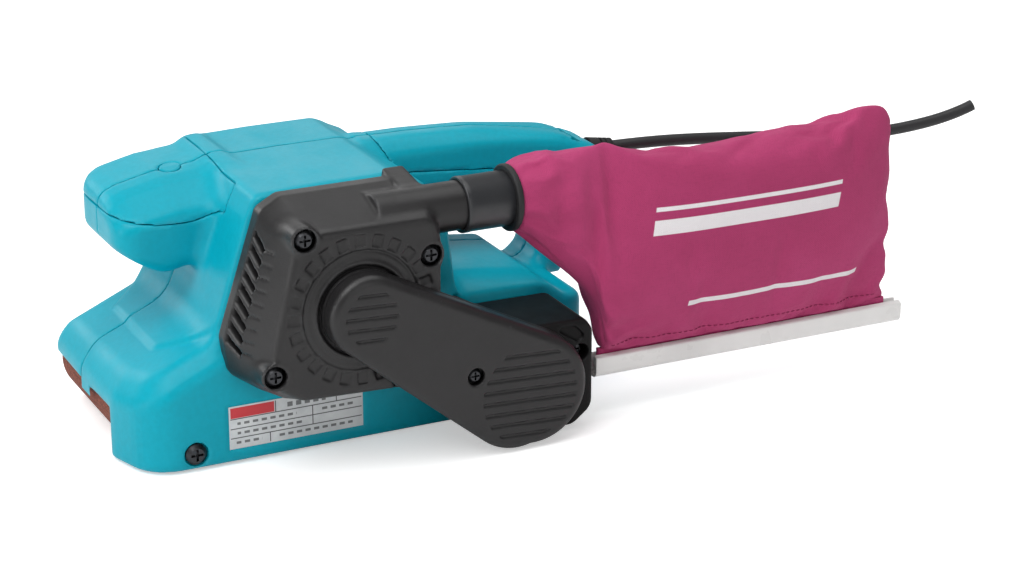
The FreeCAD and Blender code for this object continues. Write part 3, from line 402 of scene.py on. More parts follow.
class Shader:
    """A material built from nodes. Distances in shaders are in metres."""

    def __init__(self, name, **inputs):
        self.material = bpy.data.materials.new(name)
        MATERIALS[name] = self.material
        self.material.use_nodes = True
        self.tree = self.material.node_tree
        self.surface = self.tree.nodes["Principled BSDF"]
        self.coords = None
        self.set(**inputs)

    def feed(self, socket, value):
        """Links an output socket to an input, or stores a plain value there."""
        if isinstance(value, bpy.types.NodeSocket):
            self.tree.links.new(value, socket)
        else:
            socket.default_value = value

    def set(self, **inputs):
        for name, value in inputs.items():
            self.feed(self.surface.inputs[name.replace("_", " ")], value)

    def node(self, kind, inputs=None, **settings):
        node = self.tree.nodes.new(kind)
        for name, value in settings.items():
            setattr(node, name, value)
        for name, value in (inputs or {}).items():
            self.feed(node.inputs[name], value)
        return node

    def place(self):
        if self.coords is None:
            self.coords = self.node("ShaderNodeTexCoord")
        return self.coords.outputs["Object"]

    def xyz(self):
        return self.node("ShaderNodeSeparateXYZ", {0: self.place()}).outputs

    def noise(self, scale, detail=2.0, rough=0.5, stretch=None):
        place = self.place()
        if stretch:
            mapping = self.node("ShaderNodeMapping", {"Scale": stretch, "Vector": place})
            place = mapping.outputs["Vector"]
        return self.node("ShaderNodeTexNoise", {
            "Scale": scale, "Detail": detail, "Roughness": rough, "Vector": place}).outputs["Fac"]

    def ramp(self, factor, *stops):
        """Colour ramp through (position, colour) stops."""
        node = self.node("ShaderNodeValToRGB")
        elements = node.color_ramp.elements
        elements[0].position, elements[0].color = stops[0]
        elements[1].position, elements[1].color = stops[-1]
        for position, colour in stops[1:-1]:
            elements.new(position).color = colour
        self.feed(node.inputs["Fac"], factor)
        return node.outputs["Color"]

    def greys(self, factor, span=(0.3, 0.7), tones=(0, 1)):
        """Ramp between two grey tones at the two positions of span."""
        return self.ramp(factor, *((p, (t,) * 3 + (1,)) for p, t in zip(span, tones)))

    def calc(self, operation, *values):
        return self.node("ShaderNodeMath", dict(enumerate(values)), operation=operation).outputs[0]

    def add(self, a, b):
        return self.calc("ADD", a, b)

    def times(self, a, b):
        return self.calc("MULTIPLY", a, b)

    def skew(self, value, other, slope):
        return self.add(value, self.times(other, slope))

    def wave(self, coord, pitch):
        return self.calc("SINE", self.times(coord, 2 * math.pi / pitch))

    def union(self, masks):
        return functools.reduce(lambda a, b: self.calc("MAXIMUM", a, b), masks)

    def mix(self, factor, a, b, blend="MIX"):
        return self.node("ShaderNodeMix", {0: factor, 6: a, 7: b},
                         data_type="RGBA", blend_type=blend).outputs[2]

    def tint(self, a, b):
        return self.mix(1.0, a, b, blend="MULTIPLY")

    def bump(self, height, depth, strength=1.0, under=None):
        """Bump into the surface, on top of an earlier one given as under."""
        inputs = {"Distance": depth, "Strength": strength, "Height": height}
        if under is not None:
            inputs["Normal"] = under
        normal = self.node("ShaderNodeBump", inputs).outputs["Normal"]
        self.set(Normal=normal)
        return normal

    def band(self, value, low, high, soft):
        """1 where low < value < high, with a short ramp at each end."""
        ends = []
        for edge, before, after in ((low, 0.0, 1.0), (high, 1.0, 0.0)):
            ends.append(self.node("ShaderNodeMapRange", {
                "From Min": edge - soft, "From Max": edge + soft, "To Min": before,
                "To Max": after, "Value": value}, interpolation_type="SMOOTHSTEP").outputs[0])
        return self.times(*ends)

    def rect(self, u, v, u0, u1, v0, v1, soft=0.00015):
        return self.times(self.band(u, u0, u1, soft), self.band(v, v0, v1, soft))


# ------------------------------------------------------------------ materials
def plastic(name, code, rough=0.42, grain=2600.0, depth=6e-5, vary=0.06, coat=0.0, edge_wear_and_highlight=None,
            spec=0.5, painted_recess_shade=False):
    """Moulded plastic. vary: colour drift; edge_wear_and_highlight: colour of rubbed edges, which
    is also a painted highlight on convex edges; painted_recess_shade: painted shade darkening slots
    and recesses.
    """
    m = Shader(name, Specular_IOR_Level=spec)
    colour = rgb(code)
    base = m.ramp(m.noise(scale=14.0, detail=3.0, rough=0.55),
                  (0.3, scaled(colour, 1 - vary)), (0.7, scaled(colour, 1 + vary)))
    fleck = m.greys(m.noise(scale=420.0), span=(0.35, 0.65), tones=(0.97, 1.03))
    colour = m.tint(base, fleck)
    # worn edges and painted highlight: convex edges are lightened in noisy patches towards a lit
    # colour
    if edge_wear_and_highlight:
        convex = m.node("ShaderNodeNewGeometry").outputs["Pointiness"]
        edges = m.greys(convex, span=(0.515, 0.56))
        patches = m.greys(m.noise(scale=90.0, detail=4.0, rough=0.6), span=(0.45, 0.7))
        colour = m.mix(m.times(m.times(edges, patches), 0.5), colour, rgb(edge_wear_and_highlight))
    # painted shade: the base colour is darkened by ambient occlusion in slots and recesses
    if painted_recess_shade:
        recess_shade_ao = m.node("ShaderNodeAmbientOcclusion", {"Distance": 0.005}).outputs["AO"]
        colour = m.tint(colour, m.greys(recess_shade_ao, span=(0.15, 0.6), tones=(0.08, 1)))
    m.set(Base_Color=colour)
    m.set(Roughness=m.greys(m.noise(scale=60.0, detail=4.0, rough=0.6),
                            tones=(rough - 0.07, rough + 0.07)))
    fine = m.noise(scale=grain, rough=0.6)
    coarse = m.noise(scale=grain * 0.33)
    m.bump(m.add(fine, m.times(coarse, 0.8)), depth, strength=0.6)
    if coat:
        m.set(Coat_Weight=coat, Coat_Roughness=0.3)


def metal(name, code, rough, scale, brush=(1, 1, 1), depth=2e-5, stain=0.12):
    """Metal with a fine finish of the given scale, stretched by brush."""
    m = Shader(name, Metallic=1.0)
    colour = rgb(code)
    finish_noise = m.noise(scale=scale, detail=3.0, rough=0.6, stretch=brush)
    blotches = m.noise(scale=35.0, detail=4.0, rough=0.6)
    m.set(Base_Color=m.ramp(blotches, (0.3, scaled(colour, 1 - stain)), (0.75, colour)))
    m.set(Roughness=m.greys(finish_noise, tones=(rough - 0.08, rough + 0.1)))
    m.bump(finish_noise, depth, strength=0.5)


def abrasive_cloth():
    """Cloth-backed belt, brown and gritty."""
    m = Shader("abrasive_cloth", Roughness=0.85)
    grit = m.node("ShaderNodeTexVoronoi", {"Scale": 1900.0, "Vector": m.place()})
    height = m.calc("SUBTRACT", 1.0, grit.outputs["Distance"])
    m.set(Base_Color=m.ramp(grit.outputs["Color"], (0.1, rgb("4d2218")), (0.5, rgb("7a3a29")),
                            (0.9, rgb("a05a42"))))
    m.bump(m.add(height, m.noise(scale=500.0, detail=3.0)), depth=0.0003, strength=0.9)


def clip_milky():
    m = Shader("clip_milky", Subsurface_Weight=0.15, Subsurface_Radius=(0.004, 0.004, 0.004))
    m.set(Base_Color=m.ramp(m.noise(scale=25.0, detail=3.0),
                            (0.3, rgb("e2e2e0")), (0.7, rgb("f3f3f1"))))
    m.set(Roughness=m.greys(m.noise(scale=80.0, detail=3.0), tones=(0.25, 0.38)))
    m.bump(m.noise(scale=500.0, stretch=(1, 0.1, 1)), depth=4e-5, strength=0.5)


def bag_cotton():
    """Plain-weave pink-red cotton with white printed bars on its outer side."""
    bars = [  # y from, y to, z from, z to
        (0.122, 0.222, 0.0905, 0.0975), (0.122, 0.222, 0.1015, 0.1035),
        (0.150, 0.246, 0.0520, 0.0545)]
    thread_pitch = 0.00085
    outer_x = 0.094
    m = Shader("bag_cotton", Roughness=0.88, Sheen_Weight=0.25, Sheen_Roughness=0.5,
               Sheen_Tint=rgb("e07aa6"))
    x, y, z = m.xyz()
    wave_y, wave_z, wave_x = (m.wave(coord, thread_pitch) for coord in (y, z, x))
    weave = m.add(m.times(wave_y, wave_z), m.times(m.times(wave_x, wave_y), 0.25))
    slub_y = m.noise(scale=1500.0, detail=3.0, rough=0.6, stretch=(1, 0.12, 1))
    slub_z = m.noise(scale=1500.0, detail=3.0, rough=0.6, stretch=(1, 1, 0.12))
    base = m.ramp(m.noise(scale=11.0, detail=4.0, rough=0.6),
                  (0.28, rgb("a42f60")), (0.5, rgb("b0376a")), (0.75, rgb("b94074")))
    threads = m.greys(m.skew(slub_y, slub_z, slope=1.0), span=(0.8, 1.2), tones=(0.96, 1.04))
    colour = m.tint(base, threads)
    slanted = m.skew(y, z, slope=-0.18)
    printed = m.union(m.rect(slanted, m.skew(z, y, slope=0.0), *bar, soft=0.0002)
                      for bar in bars)
    side = m.calc("GREATER_THAN", x, outer_x)
    worn = m.greys(m.skew(m.noise(scale=900.0, detail=3.0, rough=0.6), weave, slope=0.06),
                   span=(0.16, 0.27))
    printed = m.times(m.times(printed, side), worn)
    m.set(Base_Color=m.mix(printed, colour, rgb("f1eef0")))
    rumple = m.bump(m.noise(scale=160.0, detail=4.0, rough=0.6), depth=0.0006, strength=0.35)
    m.bump(m.add(m.times(weave, 0.5), m.times(m.add(slub_y, slub_z), 0.7)),
           depth=0.00016, strength=0.8, under=rumple)


def label_foil(low, high):
    """Rating plate: a red block and a ruled form whose fields hold rows of dashes."""
    rows = (0.70, 0.47, 0.25)
    columns = [  # fraction of width, then bottom and top as fractions of height
        (0.345, 0.70, 0.97), (0.62, 0.25, 0.70), (0.80, 0.70, 0.97), (0.30, 0.03, 0.25)]
    entries = [  # left and right, then middle and half height, all as fractions
        (0.42, 0.72, 0.83, 0.055), (0.06, 0.50, 0.585, 0.03), (0.68, 0.94, 0.585, 0.03),
        (0.06, 0.55, 0.36, 0.03), (0.36, 0.92, 0.14, 0.03), (0.05, 0.24, 0.14, 0.03)]
    half_line = 0.00022
    line_soft = 0.00006
    dash_pitch = 0.0042
    m = Shader("label_foil", Roughness=0.32)
    _, y, z = m.xyz()
    width, height = high[1] - low[1], high[2] - low[2]

    def across(fraction):
        return low[1] + fraction * width

    def up(fraction):
        return low[2] + fraction * height

    def marks():
        for row in rows:
            yield m.rect(y, z, across(0.01), high[1] - 0.01 * width,
                         up(row) - half_line, up(row) + half_line, line_soft)
        for column, bottom, top in columns:
            yield m.rect(y, z, across(column) - half_line, across(column) + half_line,
                         up(bottom), up(top), line_soft)
        for left, right, middle, half in entries:
            dashes = m.calc("GREATER_THAN", m.wave(y, dash_pitch), -0.35)
            entry = m.rect(y, z, across(left), across(right), up(middle - half),
                           up(middle + half), soft=0.0001)
            yield m.times(m.times(entry, dashes), 0.8)

    paper = m.ramp(m.noise(scale=120.0, detail=4.0, rough=0.6),
                   (0.3, rgb("cfd2d4")), (0.7, rgb("e4e6e7")))
    red = m.rect(y, z, across(0.012), across(0.335), up(0.72), up(0.965))
    ink = m.union(marks())
    m.set(Base_Color=m.mix(ink, m.mix(red, paper, rgb("d2333b")), rgb("3c3e40")))
    m.bump(m.noise(scale=300.0), depth=3e-5, strength=0.4)


# the teal's edge colour is its lit highlight colour, painted on convex edges as well as wear
plastic("teal_moulded", "00a3b8", rough=0.36, grain=2400.0, depth=5e-5, vary=0.035,
        edge_wear_and_highlight="4fb9c9", spec=0.2)
# black plastic with painted shade in its vent slots and recesses
plastic("black_moulded", "1f1e1f", rough=0.40, grain=2000.0, depth=8e-5, vary=0.12,
        edge_wear_and_highlight="55575a", painted_recess_shade=True)
plastic("black_rubber", "1b1b1d", rough=0.62, grain=1500.0, depth=1e-4, vary=0.15)
plastic("black_satin", "2b2c2f", rough=0.36, grain=2600.0, depth=4e-5, vary=0.1, coat=0.2)
plastic("cord_pvc", "232325", rough=0.5, grain=1600.0, depth=6e-5, vary=0.15)
metal("black_oxide_steel", "4a4b4e", rough=0.34, scale=900.0)
metal("turned_steel", "b9bbbd", rough=0.28, scale=500.0, brush=(6, 1, 1))
metal("cast_alloy", "9da0a2", rough=0.5, scale=700.0, depth=1e-4, stain=0.2)
metal("roller_alloy", "b4b6b8", rough=0.3, scale=400.0, brush=(8, 1, 1))
metal("steel_laminations", "77797b", rough=0.42, scale=350.0, brush=(14, 1, 1), depth=8e-5)
metal("copper_winding", "b56a3c", rough=0.35, scale=700.0, brush=(1, 9, 1), depth=1e-4,
      stain=0.3)
plastic("carbon_brush", "2a2a2c", rough=0.6, grain=1500.0, depth=1e-4, vary=0.2)
plastic("nylon_natural", "d9d6cc", rough=0.4, grain=1800.0, depth=4e-5, vary=0.05)
plastic("graphite_cork", "4a4038", rough=0.75, grain=700.0, depth=3e-4, vary=0.3)
abrasive_cloth()
clip_milky()
bag_cotton()
plastic("black_case", "0e0d0e", rough=0.52, grain=2200.0, depth=5e-5, vary=0.10,
        edge_wear_and_highlight="3a3b3d", spec=0.2)
plastic("sewing_thread", "8e2450", rough=0.8, grain=3000.0, depth=1e-4, vary=0.1)
label_foil(*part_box("rating_label"))

# Which CAD parts wear each material; parts with none of their own are black.
CAD_PARTS = {
    "abrasive_cloth": "abrasive_belt",
    "black_rubber": "timing_belt rubber_lagging cord_guard",
    "turned_steel": "drive_shaft drive_bearings idler_axle tension_spring platen platen_screws "
                    "tension_lever lever_pivot armature_shaft motor_pulley motor_bearings",
    "roller_alloy": "drive_roller idler_roller",
    "nylon_natural": "drive_pulley cooling_fan brush_holders",
    "cast_alloy": "idler_yoke idler_carriage base_frame",
    "graphite_cork": "cork_pad",
    "steel_laminations": "armature_core stator_core",
    "copper_winding": "commutator field_coils",
    "carbon_brush": "carbon_brushes",
    "black_oxide_steel": "fan_housing_screws cover_screw case_screws housing_screws "
                         "handle_screws tracking_screw",
    "label_foil": "rating_label",
    "black_moulded": "dust_fan fan_baffle trigger lock_button speed_dial speed_module "
                     "switch_body cord_clamp",
    "cord_pvc": "cord",
    "clip_milky": "bag_clip",
}
for material, parts in CAD_PARTS.items():
    for part in parts.split():
        nodes[part].data.materials.clear()
        nodes[part].data.materials.append(MATERIALS[material])
for part in nodes:
    if not nodes[part].data.materials:
        nodes[part].data.materials.append(MATERIALS["black_moulded"])


# ------------------------------------------------------------------ teal shells
GRIP_RIDGE = [  # y, height of the front grip's ridge
    (-95, 101.5), (-93, 107.4), (-90.6, 111.9), (-87, 114.2), (-82.3, 116.1), (-64.4, 120.1),
    (-41.1, 122.3), (-37, 123.0), (-25, 124.9)]
GRIP_FALL = [  # x, drop of the grip's top below the ridge
    (-40, -0.4), (-28, -0.9), (-14, -0.5), (0, 0.0), (8, 1.2), (14, 3.0), (20, 6.0),
    (26, 9.2), (32, 12.6), (40, 17.0)]
GRIP_JOINT = [  # y, height of the grip's side joint, which rises as it runs back
    (-95, 107.6), (-88, 106.2), (-82, 105.0), (-73.5, 103.8), (-66, 103.3), (-60, 103.3),
    (-53, 104.3), (-46, 106.9), (-41, 110.3), (-37, 113.6), (-30, 118)]
RIGHT_WELLS = [  # y, z and inner x of the wells in the right flank
    (-47.0, 70.0, -34.0), (-70.0, 88.0, -22.0), (22.0, 115.0, -27.0), (47.0, 70.0, -34.0),
    (148.0, 76.0, -12.0)]


def curve(table, coord):
    return np.interp(coord, *zip(*table)).astype(F32)


def nose_deck_z(y):
    """Height of the sloping nose deck."""
    return 84.7 + 0.45 * y


def grip_roof(grid):
    top = curve(GRIP_RIDGE, grid.Y) - curve(GRIP_FALL, grid.X)
    return (grid.Z - top) * F32(0.92)


def lower_body(grid):
    """Base with its nose hood, the rear deck and the raised foot of the motor column."""
    Y, Z = grid.Y, grid.Z
    profile = grid.poly_yz([
        (-104.8, 0.8, 1.2), (-104.6, 38.4, 12), (-57, 59, 8), (-40, 60), (78, 59.5, 14),
        (107.5, 53, 22), (107.8, 0.8, 2)])
    plan = grid.poly_xy([
        (-42, -104.4, 7), (10, -104.8), (44, -103.9, 20), (72.4, -95, 30), (72.4, 62, 1.5),
        (61.8, 62, 0.5), (61.8, 107.8, 3), (-42, 107.8, 9)])
    bevel = (plan + (Z - np.clip(nose_deck_z(Y), 20, 59.5)) + 8.0) * F32(0.7071)
    base = meet(meet(profile, plan, soft=4.0), bevel, soft=3.0)

    profile = grid.poly_yz([
        (20, 0.8), (20, 66, 4), (56, 66.5, 6), (85, 63.6), (104, 61, 6), (118.5, 49.3, 7),
        (130, 48.8, 5), (130, 0.8, 3)])
    section = grid.poly_xz([(-14, 0.8), (-14, 67, 7), (44, 67, 12), (61.8, 57.8, 4),
                            (61.8, 0.8)])
    plan = grid.poly_xy([(-14, 20), (61.8, 20), (61.8, 130, 13), (-14, 130, 10)])
    deck = meet(meet(profile, section, soft=5.0), plan, soft=4.0)

    plan = grid.poly_xy([
        (-19, -80.4, 3), (39.5, -81.2, 5), (58, -58.5, 6), (62, -40), (-38, -40),
        (-37, -58, 5)])
    top = (Z - (nose_deck_z(Y) + 2.1)) * F32(0.912)
    foot = meet(meet(plan, top, soft=2.6), Z - 72)
    return join(join(base, deck, soft=4.0), foot, soft=1.6)


def motor_column(grid):
    profile = grid.poly_yz([
        (-61.5, 30), (-61.2, 56), (-43.2, 112, 10), (-38.0, 123.3, 5), (-5, 124.9),
        (28.5, 124.9, 5), (36.5, 120.0, 5), (44, 116.5, 5), (56, 92, 10), (60, 62, 8),
        (60, 30)])
    section = grid.poly_xz([
        (-40.5, 30), (-41, 100, 8), (-38.2, 125.2, 4), (60, 124.9, 4), (66, 123.2, 2),
        (66, 30)])
    plan = grid.poly_xy([(-41, -62, 18), (66, -62, 5), (66, 61, 3), (-41, 61, 10)])
    return meet(meet(profile, section, soft=5.0), plan, soft=6.0)


def front_grip(grid):
    profile = grid.poly_yz([
        (-93, 93, 5), (-93, 128), (-30, 128), (-30, 82), (-55, 82.5, 6), (-69, 77.5, 9)])
    plan = grid.poly_xy([
        (-30, -93, 15), (30, -93, 15), (32.5, -56, 20), (36, -30), (-33, -30),
        (-31, -58, 20)])
    section = grid.poly_xz([
        (-31.5, 74, 18), (-33.5, 103, 14), (-31.5, 130), (31, 130), (33.5, 103, 14),
        (31.5, 74, 18)])
    sides = meet(meet(profile, plan, soft=5.0), section, soft=7.0)
    return meet(sides, grip_roof(grid), soft=4.5)


def rear_handle(grid):
    profile = grid.poly_yz([
        (36, 78), (36, 124.4), (60, 124.2, 60), (94, 121.6, 60), (140, 113.4, 44),
        (159.5, 105.3, 9), (165.2, 94, 9), (150, 60, 8), (139, 42), (119, 42),
        (126.5, 56, 8), (131.5, 84, 10), (60, 86, 6), (52, 78)])
    section = grid.poly_xz([
        (-15.5, 40), (-17.2, 88, 8), (-18.3, 101, 10), (-15.5, 115.5, 10), (-7, 124.8, 9),
        (7, 124.8, 9), (15.5, 115.5, 10), (18.3, 101, 10), (17.2, 88, 8), (15.5, 40)])
    return meet(profile, section, soft=7.0)


def shell_cavities(grid):
    X, Z = grid.X, grid.Z
    belt = grid.poly_yz(hull(DRIVE, DRIVE_RADIUS + BELT_GAP, IDLER, IDLER_RADIUS + BELT_GAP))
    side_bay = grid.poly_yz([(-86.5, -5), (-86.5, 38.6), (-60, 44.8), (-56, 47.5),
                             (104, 47.5), (104, -5)])
    return join(
        # the belt's channel, open to the right and below
        meet(belt, grid.slab(X, -60, 40.4)),
        grid.box(-60, 40.4, -110, -60, -5, 20.4),
        grid.box(-60, 40.4, -60, 104, -5, 26),
        # bays beside it, on the left
        grid.box(40.4, 69, -86, -60, -5, 33),
        grid.box(40.4, 69, -60, 31, -5, 44),
        grid.box(40.4, 58.8, 30, 104, -5, 46),
        meet(side_bay, grid.slab(X, 40.4, 49.5)),
        # motor chamber and its stepped right end
        meet(grid.cyl_x(*MOTOR, 33.0, -29, 70), grid.slab(Z, MOTOR[1] - 24.2, 150)),
        grid.cyl_x(*MOTOR, 11.0, -37, 0),
        grid.cyl_x(*MOTOR, 4.6, -39, 0),
        # hollows of the hump, the front grip and the rear handle
        grid.box(-12, 12, 30, 62, 92, 118),
        grid.box(-15, 15, -80, -46, 91, 108),
        grid.box(-13, 13, 45, 150, 91, 110.5),
        # behind the speed dial
        grid.box(-30, -12, 34, 49.8, 93, 111),
        grid.cyl_x(*SPEED_DIAL, 3.1, -37, -28),
        # round the drive axis, and the motor opening on the left face
        grid.cyl_x(*DRIVE, 19, 40, 63),
        grid.cyl_x(*MOTOR, 35.6, 66.0, 70))


def cut_recesses(grid, field):
    """Wells, pockets and holes in the outside of the shells."""
    field = cut(field, grid.cyl_x(*SPEED_DIAL, 12.6, -60, -34.0), soft=1.2)
    field = cut(field, grid.cyl_x(*TRACKING_SCREW, 5.6, 69.8, 80), soft=0.8)
    field = cut(field, grid.cyl_x(*TRACKING_SCREW, 2.2, 40, 72),
                grid.box(71.55, 80, -58.3, 7.8, 7.2, 28.8))         # label pocket
    field = cut(field, grid.cyl_x(118.0, 30.0, 4.6, -60, -8.0), soft=1.0)
    for y, z, x in RIGHT_WELLS:
        field = cut(field, grid.cyl_x(y, z, 4.6, -60, x), soft=1.0)
    for y, z in ((66.0, 115.0), (141.0, 108.2)):
        field = cut(field, grid.cyl_x(y, z, 3.4, -30, -11.5), soft=1.0)
    field = cut(field,
                grid.cyl_y(0, 99.6, 6.2, 150, 190),                 # rear end of the handle
                grid.cyl_x(76.0, 105.2, 4.9, -30, -10),             # handle's right side
                grid.box(-8.1, 8.1, 57.3, 95.7, 80, 103))           # handle's underside
    field = cut(field, grid.cyl_z(*PLUG, 5.2, 112, 130), soft=0.5)
    # seat of the black rear case in the left flank
    seat = grid.poly_yz([
        (30.0, 36, 3), (34.2, 61.2, 3), (58, 61.2, 4), (68, 55.4, 6), (107, 55.0, 5),
        (110.8, 48.8, 4), (110.6, 10, 8), (100, 1.6, 8), (60, 1.6, 10), (40, 20, 10)])
    return cut(field, meet(seat, 61.9 - grid.X))


def teal_shells():
    half_gap = 0.1      # each shell stands back this far from a joint
    grid = Grid((-44.025, -107, -1.5), (75, 170, 128), 1.1)
    X, Y, Z = grid.X, grid.Y, grid.Z
    form = join(lower_body(grid), motor_column(grid), soft=9.0)
    form = join(form, front_grip(grid), soft=8.0)
    form = join(form, rear_handle(grid), soft=6.0)
    form = cut_recesses(grid, cut(form, shell_cavities(grid)))
    # regions that the joints divide the form into
    grip = meet(Y + 38.0, (curve(GRIP_JOINT, Y) - Z) * F32(0.85), np.abs(X - 0.6) - 38.2)
    handle_joint = (107.1 - 0.093 * (Y - 54.4)).astype(F32)
    handle = meet((40.5 + 0.435 * (128.0 - Z) - Y) * F32(0.917), handle_joint - Z)
    lower = meet(Z - handle_joint, 54.0 - Y, Y - 133.9, 76 - Z, np.abs(X) - 30)
    housing = meet(-grip, -handle, -lower)

    def shell(name, region):
        solid("shell_" + name, grid, region, "teal_moulded", name)

    for name, region in (("housing", housing), ("grip_cover", grip), ("handle", handle)):
        whole = meet(form, region + half_gap)
        shell(name + "_left", meet(whole, -X + half_gap))
        shell(name + "_right", meet(whole, X + half_gap))
    shell("handle_lower", meet(form, lower + half_gap))


def grip_plug():
    grid = Grid((-7, -63, 110), (7, -49, 125), 0.4)
    field = meet(grid.cyl_z(*PLUG, 4.95, 112, 130), grip_roof(grid) - 0.05, soft=0.9)
    solid("grip_plug", grid, field, "teal_moulded", "grip_screw_plug", sharp=40.0)


# ------------------------------------------------------------------ black fan housing
# Outlines (y, z, corner radius) of the outside at x = 75, 91 and 104, and of the inside.
FAN_OUTER = (
    [(-41, 119.5, 6), (-31, 125, 6), (33.5, 125, 5), (34, 60), (34, 38, 5), (20, 33, 8),
     (-42, 34.5, 8), (-58, 46, 7), (-60, 62, 8)],
    [(-38, 115.5, 7), (-24, 119.5, 8), (33, 119, 6), (34, 100), (34, 57, 7), (20, 34.5, 8),
     (-38, 36, 8), (-54, 47, 7), (-51, 66, 9)],
    [(-34.5, 112, 6), (-22, 115, 7), (30, 115, 6), (33.6, 104, 7), (33.6, 57, 8),
     (20, 36.5, 8), (-33, 38.5, 8), (-48.5, 48, 7), (-46, 60, 8)])
FAN_INNER = (
    [(-38, 114, 5), (-29, 121, 5), (30, 121, 5), (30, 60), (30, 42, 5), (18, 38, 8),
     (-40, 39.5, 8), (-54, 50, 6), (-55, 62, 6)],
    [(-30, 106, 5), (-20, 110, 5), (28, 110, 5), (29, 98), (29, 60, 6), (17, 41.5, 6),
     (-31, 43.5, 6), (-42, 52, 6), (-40, 64, 6)])


def fan_outer(grid):
    """Tapering box with the outlet tube, a latch rib on top and three screw bosses."""
    X = grid.X
    near, mid, far = (grid.poly_yz(outline) for outline in FAN_OUTER)
    to_mid = np.clip((X - 75) / 16.0, 0, 1)
    to_far = np.clip((X - 91) / 13.0, 0, 1)
    loft = np.where(X < 91, near * (1 - to_mid) + mid * to_mid,
                    mid * (1 - to_far) + far * to_far) * F32(0.93)
    outer = meet(loft, grid.slab(X, 66.1, 104.0), soft=3.4)
    tube = grid.cyl_y(TUBE_X, TUBE_Z, 11.3, 6, 72, soft=1.5)
    saddle = grid.box(TUBE_X - 11.5, TUBE_X + 11.5, 12, 33.5, 100, TUBE_Z)
    outer = join(outer, join(tube, saddle), soft=3.0)
    rib_top = (grid.Z - (128.2 - 0.16 * (X - 62))) * F32(0.98)
    rib = meet(grid.box(60, 88, 21.5, 32.5, 110, 200), rib_top, soft=2.0)
    outer = join(outer, meet(rib, X - 87, soft=2.5), soft=1.5)
    for screw in FAN_SCREWS[:3]:
        outer = join(outer, grid.cyl_x(*screw, 6.4, 68, 103.4, soft=1.2), soft=2.0)
    return outer


def face_pattern(grid, field):
    """Round groove and 24 shallow square recesses about the motor axis on the left face."""
    pitch = 15.0
    radius = grid.from_axis(*MOTOR)
    groove = meet(np.abs(radius - 27.3) - 0.5, 103.4 - grid.X)
    field = cut(field, groove, soft=0.5)
    angle = np.arctan2(grid.Z - MOTOR[1], grid.Y - MOTOR[0])
    turn = (angle / math.radians(pitch) + 0.5) % 1.0 - 0.5
    sideways = np.abs(turn) * math.radians(pitch) * radius
    cell = meet(sideways - 2.5, np.abs(radius - 32.0) - 2.9, 103.2 - grid.X)
    return cut(field, cell, soft=0.5)


def front_slots(grid, field, outer):
    """Nine short slanting slots in the front bevel, backed by a thin inner skin."""
    X, Y, Z = grid.X, grid.Y, grid.Z
    skin = meet(np.abs(outer + 6.2) - 0.9, np.abs(X - 80.0) - 10.0, Y + 16.0,
                np.abs(Z - 84.0) - 31.0)
    field = join(field, skin)
    for i in range(9):
        up = i / 8.0
        slot_z = 60.6 + up * 46.0
        slot_y = -54.9 + up * 14.4
        slant = -0.72 * (X - 79.5)
        slot = meet(np.abs(Z - slot_z - slant) - 1.75, np.abs(X - 79.5) - 4.2,
                    np.abs(Y - slot_y) - 11.0, -(outer + 4.8))
        # fine line running on from the slot
        line = meet(np.abs(Z - slot_z + 2.4) - 0.36, np.abs(X - 87.5) - 3.6,
                    np.abs(Y - slot_y) - 14.0, -(outer + 0.55))
        field = cut(field, slot, line, soft=0.3)
    return field


def fan_housing():
    grid = Grid((65.5, -62, 31), (106.5, 74, 128), 0.78)
    X = grid.X
    outer = fan_outer(grid)
    near, far = (grid.poly_yz(outline) for outline in FAN_INNER)
    to_far = np.clip((X - 66) / 34.0, 0, 1)
    inner = meet(near * (1 - to_far) + far * to_far, X - 100.0)
    field = cut(outer, inner, grid.cyl_y(TUBE_X, TUBE_Z, 9.5, 14, 80))
    # bearing seat, and the ring that stands on the face round it
    field = join(field, cut(grid.cyl_x(*MOTOR, 14, 94, 103), grid.cyl_x(*MOTOR, 11, 90, 102)))
    field = join(field, grid.cyl_x(*MOTOR, 23.2, 101, 105.0, soft=0.8), soft=0.8)
    field = cut(field, grid.cyl_x(*MOTOR, 21.0, 104.0, 110), grid.cyl_x(*MOTOR, 11.0, 94, 102),
                grid.cyl_x(*MOTOR, 6.0, 90, 110))
    field = face_pattern(grid, field)
    # counterbores, pillars and holes for the screws
    for screw in FAN_SCREWS:
        field = cut(field, grid.cyl_x(*screw, 5.1, 99.5, 120), soft=0.9)
        field = join(field, grid.cyl_x(*screw, 5.8, 67, 99.6))
        field = cut(field, grid.cyl_x(*screw, 2.1, 60, 120))
    field = front_slots(grid, field, outer)
    solid("fan_housing_shell", grid, field, "black_moulded", "fan_housing")


# ------------------------------------------------------------------ belt cover and its case
def triangle_wave(height, pitch, phase):
    return np.abs((height / pitch + phase) % 1.0 - 0.5) * pitch


